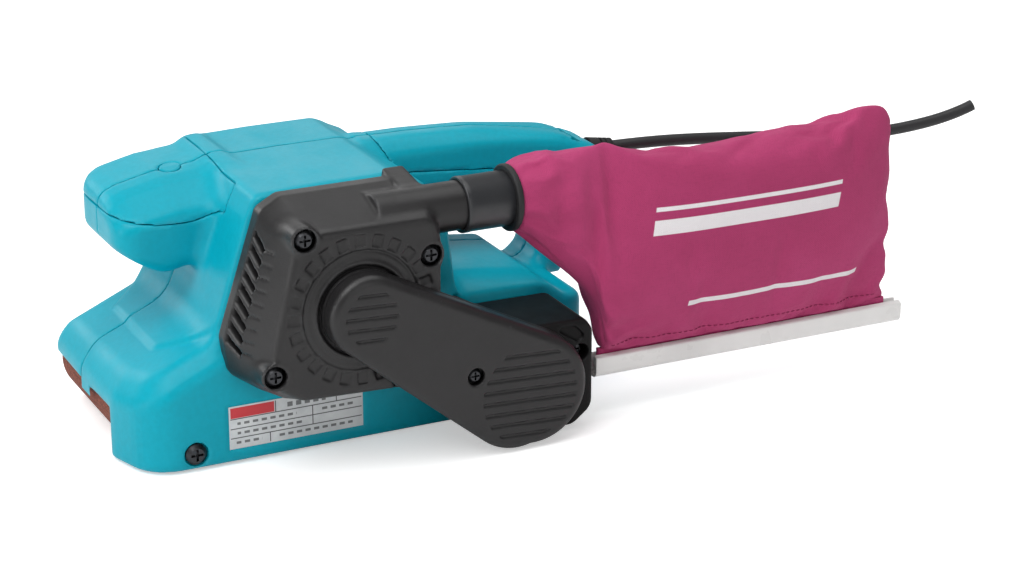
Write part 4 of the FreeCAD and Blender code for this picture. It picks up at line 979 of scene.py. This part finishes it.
def belt_cover():
    edge_radius = 4.2
    grid = Grid((103.0, -27.5, 0), (118, 103.5, 98.5), 0.5)
    X, Y, Z = grid.X, grid.Y, grid.Z
    motor_end = (MOTOR, 19.5, 60)
    outline = join(grid.poly_yz(hull((74.5, 28.4), 27.0, *motor_end)),
                   grid.poly_yz(hull((66.2, 26.4), 25.8, *motor_end)))
    wall = outline + 0.05 * (X - 104.0)
    past_wall = np.maximum(wall + edge_radius, 0)
    past_face = np.maximum(X - 116.0 + edge_radius, 0)
    outer = (np.minimum(np.maximum(wall, X - 116.0), -edge_radius)
             + np.sqrt(past_wall * past_wall + past_face * past_face))
    outer = meet(outer, 104.12 - X)
    # slight step line round the rim, then the hollow
    field = cut(outer, meet(np.abs(X - 106.4) - 0.35, -outline - 0.45), soft=0.3)
    field = cut(field, meet(outline + 2.4, X - 113.4))
    # two round patches of grip ribs
    height = Z - MOTOR[1] + 0.05 * (Y - MOTOR[0])
    upper = meet(triangle_wave(height, pitch=5.2, phase=0.5) - 0.62,
                 grid.from_axis(*MOTOR) - 12.4, np.abs(height) - 13.0)
    height = Z - 27.4 + 0.05 * (Y - 72.3)
    lower = meet(triangle_wave(height, pitch=5.5, phase=0.0) - 0.68,
                 grid.from_axis(71.6, 27.2) - 23.6, outline + 4.6 + 0.8)
    field = cut(field, meet(join(upper, lower), 115.15 - X), soft=0.75)
    # screw boss and counterbore
    field = join(field, cut(grid.cyl_x(*COVER_SCREW, 4.8, 104.12, 114),
                            grid.cyl_x(*COVER_SCREW, 3.7, 112, 120)))
    field = cut(field, grid.cyl_x(*COVER_SCREW, 4.1, 112.0, 120), soft=1.0)
    field = cut(field, grid.cyl_x(*COVER_SCREW, 2.1, 100, 120))
    solid("belt_cover_shell", grid, field, "black_moulded", "belt_cover")


def belt_case():
    """Case between the teal flank and the belt cover, behind the fan housing."""
    grid = Grid((60.5, 28, 0), (105.5, 112, 65), 0.7)
    X = grid.X
    outline = grid.poly_yz([
        (34.6, 44, 1), (34.6, 60.5, 3), (58, 60.5, 4), (68, 54.7, 6), (106.3, 54.2, 5),
        (110, 48.5, 4), (110, 30), (110, 10, 8), (100, 2.2, 8), (60, 2.2, 10), (40, 20, 10)])
    front = grid.poly_yz([(30.4, 36, 3), (34.6, 60.3, 3), (60, 60.3, 3), (60, 14, 4),
                          (50, 14, 4)])
    field = join(meet(outline, grid.slab(X, 62.0, 104.0), soft=3.0),
                 meet(front, grid.slab(X, 76.2, 104.0), soft=1.0))
    hollow = grid.poly_yz([
        (38, 24, 4), (38, 56, 3), (60, 56, 4), (70, 50.5, 4), (98, 50.5, 6), (105.5, 43, 8),
        (106, 14, 10), (94, 6, 8), (60, 6, 8), (50, 14, 4)])
    field = cut(field, meet(hollow, grid.slab(X, 65.0, 101.0)))
    # bearing seat on the drive axis
    field = join(field, cut(grid.cyl_x(*DRIVE, 16, 89, 101.5), grid.cyl_x(*DRIVE, 13, 80, 120)))
    field = cut(field, grid.cyl_x(*DRIVE, 13, 91.9, 99.1), grid.cyl_x(*DRIVE, 7.0, 55, 120))
    for screw in ((103.0, 38.0), (54.0, 54.0)):
        field = join(field, grid.cyl_x(*screw, 5.2, 63, 103.6, soft=0.6))
        field = cut(field, grid.cyl_x(*screw, 4.3, 96, 120), soft=0.8)
        field = cut(field, grid.cyl_x(*screw, 2.1, 50, 120))
    # shallow pocket above the rear screw
    pocket = grid.poly_yz([(90, 51.5, 1), (100.5, 51.5, 3), (105.5, 46, 2), (102, 43.5, 1)])
    field = cut(field, meet(pocket, 102.6 - X), soft=0.8)
    # clear of the fan housing
    fan = grid.poly_yz([(-41, 119.5, 6), (34.35, 125, 5), (34.35, 60), (34.35, 37.6, 5),
                        (20, 32.6, 8), (-42, 34, 8)])
    field = cut(field, fan, grid.cyl_x(*COVER_SCREW, 2.1, 90, 120))
    solid("belt_case_shell", grid, field, "black_case", "belt_case")


teal_shells()
grip_plug()
fan_housing()
belt_cover()
belt_case()


# ------------------------------------------------------------------ turned parts on the tube
def turned(name, profile, material, body, replaced, segments=96):
    """Closed profile of (radius, y) points turned round the outlet tube's axis."""
    points = []
    for i in range(segments):
        angle = 2 * math.pi * i / segments
        for radius, y in profile:
            points.append((TUBE_X + radius * math.cos(angle), y,
                           TUBE_Z + radius * math.sin(angle)))
    faces = ring_faces(segments, len(profile), closed=True)
    ob = mesh_object(name, np.array(points, float), np.array(faces), sharp=32.0)
    face_outwards(ob.data)
    smooth(ob.data, sharp=32.0)
    finish(ob, material, body, (replaced,))


def arc(centre, radius, start, end, steps):
    angles = [math.radians(start + (end - start) * k / steps) for k in range(steps + 1)]
    return [(centre[0] + radius * math.cos(a), centre[1] + radius * math.sin(a))
            for a in angles]


# a small lip at the front end, a shallow waist and the seat for the ring
COLLAR = [
    (11.62, 48.6), (12.3, 48.6), *arc((12.35, 49.2), 0.6, -60, 0, steps=3), (12.95, 51.4),
    (12.75, 51.8), (12.75, 69.6), (12.55, 70.0), (12.55, 76.0), (11.0, 76.2), (9.6, 76.0),
    (9.6, 73.05), (11.6, 73.05)]
RING = [
    (12.75, 71.8), (14.6, 71.8), *arc((14.6, 72.7), 0.9, -90, 0, steps=4),
    *arc((14.6, 73.9), 0.9, 0, 90, steps=4), (12.75, 74.8)]
turned("collar_turned", COLLAR, "black_satin", "bag_collar", "bag_collar")
turned("ring_turned", RING, "black_rubber", "dust_bag", "bag_ring")


# ------------------------------------------------------------------ cloth dust bag
BAG_X = 92.0
BAG_STATIONS = [  # y, x centre, top z, bottom z, half width
    (74.4, 88.0, 127.6, 98.2, 14.6),
    (79.0, 88.0, 129.4, 95.2, 15.8),
    (85.0, 88.6, 130.8, 89.2, 16.8),
    (92.0, 89.4, 132.4, 81.5, 17.6),
    (99.0, 90.0, 131.6, 74.5, 17.4),
    (106.0, 90.8, 131.0, 65.5, 17.0),
    (112.0, 91.4, 130.8, 53.0, 16.4),
    (117.0, 92.0, 130.6, 38.0, 15.6),
    (121.0, 92.0, 130.4, 32.0, 15.4),
    (140.0, 92.0, 130.2, 31.5, 16.4),
    (170.0, 92.0, 130.6, 31.5, 17.4),
    (205.0, 92.0, 131.6, 31.5, 17.4),
    (240.0, 92.0, 132.8, 31.5, 15.5),
    (258.0, 92.0, 133.2, 31.5, 11.6),
    (267.0, 92.0, 132.4, 31.8, 8.4),
    (273.0, 92.0, 129.6, 32.5, 5.2),
    (276.6, 92.0, 124.5, 34.0, 2.4),
]
BAG_ROWS, BAG_AROUND = 58, 84
CLOTH_SETTINGS = dict(
    quality=6, mass=0.2, tension_stiffness=12, compression_stiffness=12, shear_stiffness=4,
    bending_stiffness=0.35, tension_damping=8, compression_damping=8, shear_damping=8,
    vertex_group_mass="pin", pin_stiffness=1.0, use_pressure=True,
    uniform_pressure_force=3.2, shrink_min=-0.035)
CLOTH_FRAMES = 22
MAX_SWELL = 0.0085      # furthest the cloth may move, in metres


def smooth_rows(table, count):
    """Table rows resampled evenly by arc length with a monotone curve through them."""
    rows = np.array(table, float)
    height = 0.35 * np.hypot(np.diff(rows[:, 2]), np.diff(rows[:, 3]))
    length = np.concatenate([[0], np.cumsum(np.hypot(np.diff(rows[:, 0]), height))])
    wanted = np.linspace(0, length[-1], count)
    k = np.clip(np.searchsorted(length, wanted, side="right") - 1, 0, len(length) - 2)
    span = length[k + 1] - length[k]
    t = (wanted - length[k]) / span
    out = []
    for value in rows.T:
        slope = np.diff(value) / np.diff(length)
        tangent = np.zeros(len(value))
        tangent[0], tangent[-1] = slope[0], slope[-1]
        for i in range(1, len(value) - 1):
            before, after = slope[i - 1], slope[i]
            if before * after > 0:
                tangent[i] = 2 * before * after / (before + after)
        out.append(value[k] * (1 + 2 * t) * (1 - t) ** 2 + tangent[k] * span * t * (1 - t) ** 2
                   + value[k + 1] * t * t * (3 - 2 * t) + tangent[k + 1] * span * t * t * (t - 1))
    return np.stack(out, 1)


def bag_points(rows):
    """Rings of points; each starts at the bottom and goes up the outer (+X) side."""
    points = np.zeros((BAG_ROWS, BAG_AROUND, 3))
    angle = -math.pi / 2 + 2 * math.pi * np.arange(BAG_AROUND) / BAG_AROUND
    cos, sin = np.cos(angle), np.sin(angle)
    for ring, (y, x_centre, top, bottom, half_width) in zip(points, rows):
        past_neck = np.clip((y - 76) / 40.0, 0, 1)
        thin = 1.0 - 0.34 * np.clip((y - 80) / 30.0, 0, 1)
        x = half_width * thin * np.sign(cos) * np.abs(cos) ** (1.0 - 0.25 * past_neck)
        z = (top - bottom) / 2 * np.sign(sin) * np.abs(sin) ** (1.0 - 0.12 * past_neck)
        ring[:, 0], ring[:, 1], ring[:, 2] = x_centre + x, y, (top + bottom) / 2 + z
        # gathers round the neck
        near = np.exp(-((y - 84.0) / 9.0) ** 2)
        gather = 0.8 * near * (np.cos(9 * angle + 0.6) + 0.6 * np.cos(14 * angle + 2.0))
        ring[:, 0] += gather * cos
        ring[:, 2] += gather * sin
    return points.reshape(-1, 3)


def bag_faces():
    quads = [(a, d, c, b) for a, b, c, d in ring_faces(BAG_ROWS, BAG_AROUND)]
    tris = []
    last = (BAG_ROWS - 1) * BAG_AROUND
    for k in range(BAG_AROUND // 2):        # rear seam: the two sides meet
        face = (last + k, last + (BAG_AROUND - k) % BAG_AROUND,
                last + BAG_AROUND - k - 1, last + k + 1)
        if len(set(face)) == 4:
            quads.append(face)
        else:
            tris.append(tuple(dict.fromkeys(face)))
    return quads + tris


def pin_bag(ob, rows):
    """Holds the neck, the bottom line and, loosely, the rear seam."""
    group = ob.vertex_groups.new(name="pin")
    for i in range(BAG_ROWS):
        for k in range(BAG_AROUND):
            weight = {0: 1.0, 1: 0.6}.get(i, 0.0)
            from_bottom = min(k, BAG_AROUND - k)
            if rows[i, 0] > 119.0 and from_bottom <= 1:
                weight = 1.0 if from_bottom == 0 else 0.75
            if i == BAG_ROWS - 1:
                weight = max(weight, 0.35)
            if weight:
                group.add([i * BAG_AROUND + k], weight, "REPLACE")


def swell(ob, start):
    """Blows the bag up as pressurised cloth and returns its points, in metres."""
    cloth = ob.modifiers.new("Cloth", "CLOTH")
    for name, value in CLOTH_SETTINGS.items():
        setattr(cloth.settings, name, value)
    cloth.settings.effector_weights.gravity = 0.0
    cloth.collision_settings.use_self_collision = False
    cloth.collision_settings.use_collision = False
    cloth.point_cache.frame_start = 1
    cloth.point_cache.frame_end = 24
    scene = bpy.context.scene
    for number in range(1, CLOTH_FRAMES + 1):
        scene.frame_set(number)
    blown = ob.evaluated_get(bpy.context.evaluated_depsgraph_get())
    move = np.array([v.co for v in blown.data.vertices]) - start
    ob.modifiers.remove(cloth)
    scene.frame_set(1)
    # soft limit, so that no edge shows where it starts
    length = np.linalg.norm(move, axis=1)
    share = np.tanh(length / MAX_SWELL) * MAX_SWELL / np.maximum(length, 1e-9)
    return start + move * share[:, None]


def crease(points):
    """Large soft creases at the neck, the lower front corner, the hem and the rear seam."""
    x, y, z = points.T      # views, so that the lines below move the points
    side = np.sign(x - 91.0)
    neck_fold = (np.exp(-((y - 101 - 0.10 * (z - 100)) / 5.0) ** 2)
                 * np.clip((z - 72) / 20, 0, 1) * np.clip((133 - z) / 14, 0, 1))
    neck_dip = (np.exp(-((y - 91.5 - 0.05 * (z - 100)) / 4.0) ** 2)
                * np.clip((z - 84) / 14, 0, 1) * np.clip((130 - z) / 12, 0, 1))
    hem = np.exp(-((z - 33) / 10.0)) * np.clip((y - 116) / 6, 0, 1)
    hem_wave = np.sin(y * 0.31 + 0.8) + 0.7 * np.sin(y * 0.67 + 2.1) + 0.5 * np.sin(y * 0.17)
    hem_flat = 1 - np.exp(-((z - 31.5) / 3.0) ** 2)
    corner = (np.exp(-(((y - 121) / 10.0) ** 2 + ((z - 52) / 14.0) ** 2))
              * np.sin((y + 1.4 * z) * 0.30))
    corner_low = (np.exp(-(((y - 130) / 16.0) ** 2 + ((z - 44) / 9.0) ** 2))
                  * np.sin((z * 1.2 - 0.35 * y) * 0.42))
    folds = (1.5 * neck_fold - 1.9 * neck_dip + 0.8 * hem * hem_wave * hem_flat
             + 1.5 * corner + 1.0 * corner_low)
    x += side * folds * np.clip(np.abs(x - 91) / 4.0, 0, 1)
    rear = np.exp(-((277 - y) / 9.0))
    rear_wave = np.sin(z * 0.27 + 0.4) + 0.6 * np.sin(z * 0.55 + 1.7)
    y += (rear * rear_wave * 0.9 * np.clip((126 - z) / 10, 0, 1)
          * np.clip((z - 34) / 6, 0, 1) * np.where(z < 75, 1.6, 0.5))
    top = np.clip((z - 122) / 8, 0, 1)
    z += (top * 0.7 * (np.sin(y * 0.16 + 1.0) + 0.6 * np.sin(y * 0.37))
          * np.clip((y - 95) / 15, 0, 1) * np.clip((272 - y) / 10, 0, 1))


def dust_bag():
    rows = smooth_rows(BAG_STATIONS, BAG_ROWS)
    mesh = bpy.data.meshes.new("dust_bag_cloth")
    mesh.from_pydata([tuple(p * MM) for p in bag_points(rows)], [], bag_faces())
    mesh.validate()
    ob = bpy.data.objects.new("dust_bag_cloth", mesh)
    bpy.context.scene.collection.objects.link(ob)
    face_outwards(mesh)
    points = np.array([v.co for v in mesh.vertices])
    pin_bag(ob, rows)
    points = swell(ob, points)
    points = points / MM
    crease(points)
    mesh.vertices.foreach_set("co", (points * MM).astype(F32).ravel())
    mesh.update()
    subdivide = ob.modifiers.new("sub", "SUBSURF")
    subdivide.levels = subdivide.render_levels = 1
    thicken = ob.modifiers.new("thick", "SOLIDIFY")
    thicken.thickness = 0.0007
    thicken.offset = -1.0
    thicken.use_even_offset = False
    depsgraph = bpy.context.evaluated_depsgraph_get()
    final = bpy.data.meshes.new_from_object(ob.evaluated_get(depsgraph))
    ob.modifiers.clear()
    ob.vertex_groups.clear()
    ob.data = final
    final.name = "dust_bag_cloth"
    smooth(final, sharp=0)
    finish(ob, "bag_cotton", "dust_bag", ("dust_bag",))
    return ob


def bag_hem():
    """Two layers pressed flat, with a bead that the clip holds."""
    bead = [(2.35 * math.cos(a), 24.4 + 2.35 * math.sin(a))
            for a in np.linspace(math.radians(150), math.radians(390), 13)]
    section = [  # x from the bag's middle, z
        (-1.15, 33.4), (-1.0, 27.0), (-1.0, 25.6), *bead, (1.0, 25.6), (1.0, 27.0),
        (1.15, 33.4)]
    stations = np.linspace(118.2, 277.4, 90)
    points = []
    for y in stations:
        for x, z in section:
            wobble = 0.22 * math.sin(y * 0.9 + 0.3) * max(0.0, (z - 27) / 6.4)
            points.append((BAG_X + x + wobble, y, z))
    faces = ring_faces(len(stations), len(section))
    ob = mesh_object("bag_hem", np.array(points), np.array(faces), sharp=40.0)
    face_outwards(ob.data, fill_ends=True)
    finish(ob, "bag_cotton", "dust_bag")


def stitches(name, line, normals):
    """Short thread stitches along a line of points, lifted off the cloth along its normals."""
    length, gap, radius, lift = 2.0, 0.9, 0.28, 0.15
    around = 6
    sections = [  # place along the stitch, then width and rise as shares of the radius
        (0.0, 0.15, -0.35), (0.12, 0.8, 0.0), (0.5, 1.0, 0.3), (0.88, 0.8, 0.0),
        (1.0, 0.15, -0.35)]
    line, normals = np.array(line, float), np.array(normals)
    steps = np.linalg.norm(np.diff(line, axis=0), axis=1)
    distance = np.concatenate([[0], np.cumsum(steps)])

    def along(table, place):
        return np.array([np.interp(place, distance, table[:, k]) for k in range(3)])

    points, faces = [], []
    place = 0.5
    while place + length < distance[-1]:
        start, end = along(line, place), along(line, place + length)
        normal = along(normals, place)
        normal = normal / np.linalg.norm(normal)
        run = (end - start) / np.linalg.norm(end - start)
        sideways = np.cross(run, normal)
        faces += ring_faces(len(sections), around, first=len(points))
        for share, width, rise in sections:
            centre = start + (end - start) * share + normal * (lift + rise * radius)
            for k in range(around):
                angle = 2 * math.pi * k / around
                spoke = sideways * math.cos(angle) + normal * math.sin(angle)
                points.append(centre + spoke * radius * width)
        place += length + gap
    ob = mesh_object(name, np.array(points), np.array(faces), sharp=0)
    face_outwards(ob.data, fill_ends=True)
    finish(ob, "sewing_thread", "dust_bag")


def on_bag(bag, origins, direction):
    """Points and normals where rays from the origins first meet the cloth."""
    tree = BVHTree.FromObject(bag, bpy.context.evaluated_depsgraph_get())
    points, normals = [], []
    for origin in origins:
        point, normal, _, _ = tree.ray_cast(Vector(origin) * MM, Vector(direction))
        if point is not None:
            points.append(np.array(point) / MM)
            normals.append(np.array(normal))
    return points, normals


bag = dust_bag()
bag_hem()
for sign, side in ((1, "outer"), (-1, "inner")):
    origins = [(BAG_X + sign * 60, y, 36.6) for y in np.linspace(121.5, 273.0, 110)]
    stitches("hem_stitches_" + side, *on_bag(bag, origins, (-sign, 0, 0)))


# ------------------------------------------------------------------ floor, light, camera
def floor():
    """White floor that looks brighter to the camera than to the light it reflects."""
    half = 30.0     # metres
    mesh = bpy.data.meshes.new("floor")
    mesh.from_pydata([(-half, -half, 0), (half, -half, 0), (half, half, 0), (-half, half, 0)],
                     [], [(0, 1, 2, 3)])
    ob = bpy.data.objects.new("floor", mesh)
    bpy.context.scene.collection.objects.link(ob)
    m = Shader("floor_white", Roughness=0.9, Specular_IOR_Level=0.1,
               Emission_Color=(1, 1, 1, 1))
    m.set(Base_Color=m.greys(m.noise(scale=2.0), tones=(0.93, 0.95)))
    seen = m.node("ShaderNodeLightPath").outputs["Is Camera Ray"]
    m.set(Emission_Strength=m.times(seen, 0.45))
    mesh.materials.append(m.material)


def area(name, at, aim, power, width, height=None):
    """Area light; places and sizes in metres, power in watts."""
    light = bpy.data.lights.new(name, "AREA")
    light.shape = "RECTANGLE"
    light.size = width
    light.size_y = height or width
    light.energy = power
    ob = bpy.data.objects.new(name, light)
    bpy.context.scene.collection.objects.link(ob)
    ob.location = at
    ob.rotation_euler = (Vector(aim) - Vector(at)).to_track_quat("-Z", "Y").to_euler()


def camera():
    turn = math.radians(26.24)      # of its right-hand direction, from +Y towards +X
    dip = math.radians(20.14)       # below the horizontal
    place = Vector((1106.5, -426.3, 485.4)) * MM
    right = Vector((math.sin(turn), math.cos(turn), 0))
    up = Vector((-math.sin(dip) * math.cos(turn), math.sin(dip) * math.sin(turn),
                 math.cos(dip)))
    forward = Vector((-math.cos(dip) * math.cos(turn), math.cos(dip) * math.sin(turn),
                      -math.sin(dip)))
    data = bpy.data.cameras.new("camera")
    data.sensor_width = 36.0
    data.lens = 92.858203
    ob = bpy.data.objects.new("camera", data)
    bpy.context.scene.collection.objects.link(ob)
    rotation = Matrix((right, up, -forward)).transposed()
    ob.matrix_world = Matrix.Translation(place) @ rotation.to_4x4()
    bpy.context.scene.camera = ob


floor()
world = bpy.data.worlds.new("studio")
bpy.context.scene.world = world
world.use_nodes = True
background = world.node_tree.nodes["Background"]
background.inputs["Color"].default_value = (1.0, 1.0, 1.0, 1)
background.inputs["Strength"].default_value = 0.24

area("key", at=(0.5, -0.9, 1.7), aim=(0.05, 0.05, 0.05), power=21, width=1.3)
area("top", at=(0.0, 0.4, 1.9), aim=(0.02, 0.08, 0.05), power=14, width=1.6)
area("back", at=(-1.75, 0.35, 1.15), aim=(0.02, 0.05, 0.06), power=6, width=1.5)
area("rim", at=(-1.6, -0.95, 0.85), aim=(0.0, -0.05, 0.05), power=8, width=0.9)
area("low", at=(0.05, -1.9, 0.30), aim=(0.0, -0.05, 0.06), power=3.2, width=0.8, height=0.45)
area("side", at=(1.9, 0.3, 0.7), aim=(0.05, 0.08, 0.06), power=4, width=1.1)
area("front", at=(0.5, -1.7, 0.7), aim=(0.0, -0.05, 0.06), power=3, width=0.9)

camera()
bpy.context.scene.view_settings.view_transform = "Standard"
bpy.context.scene.view_settings.look = "None"
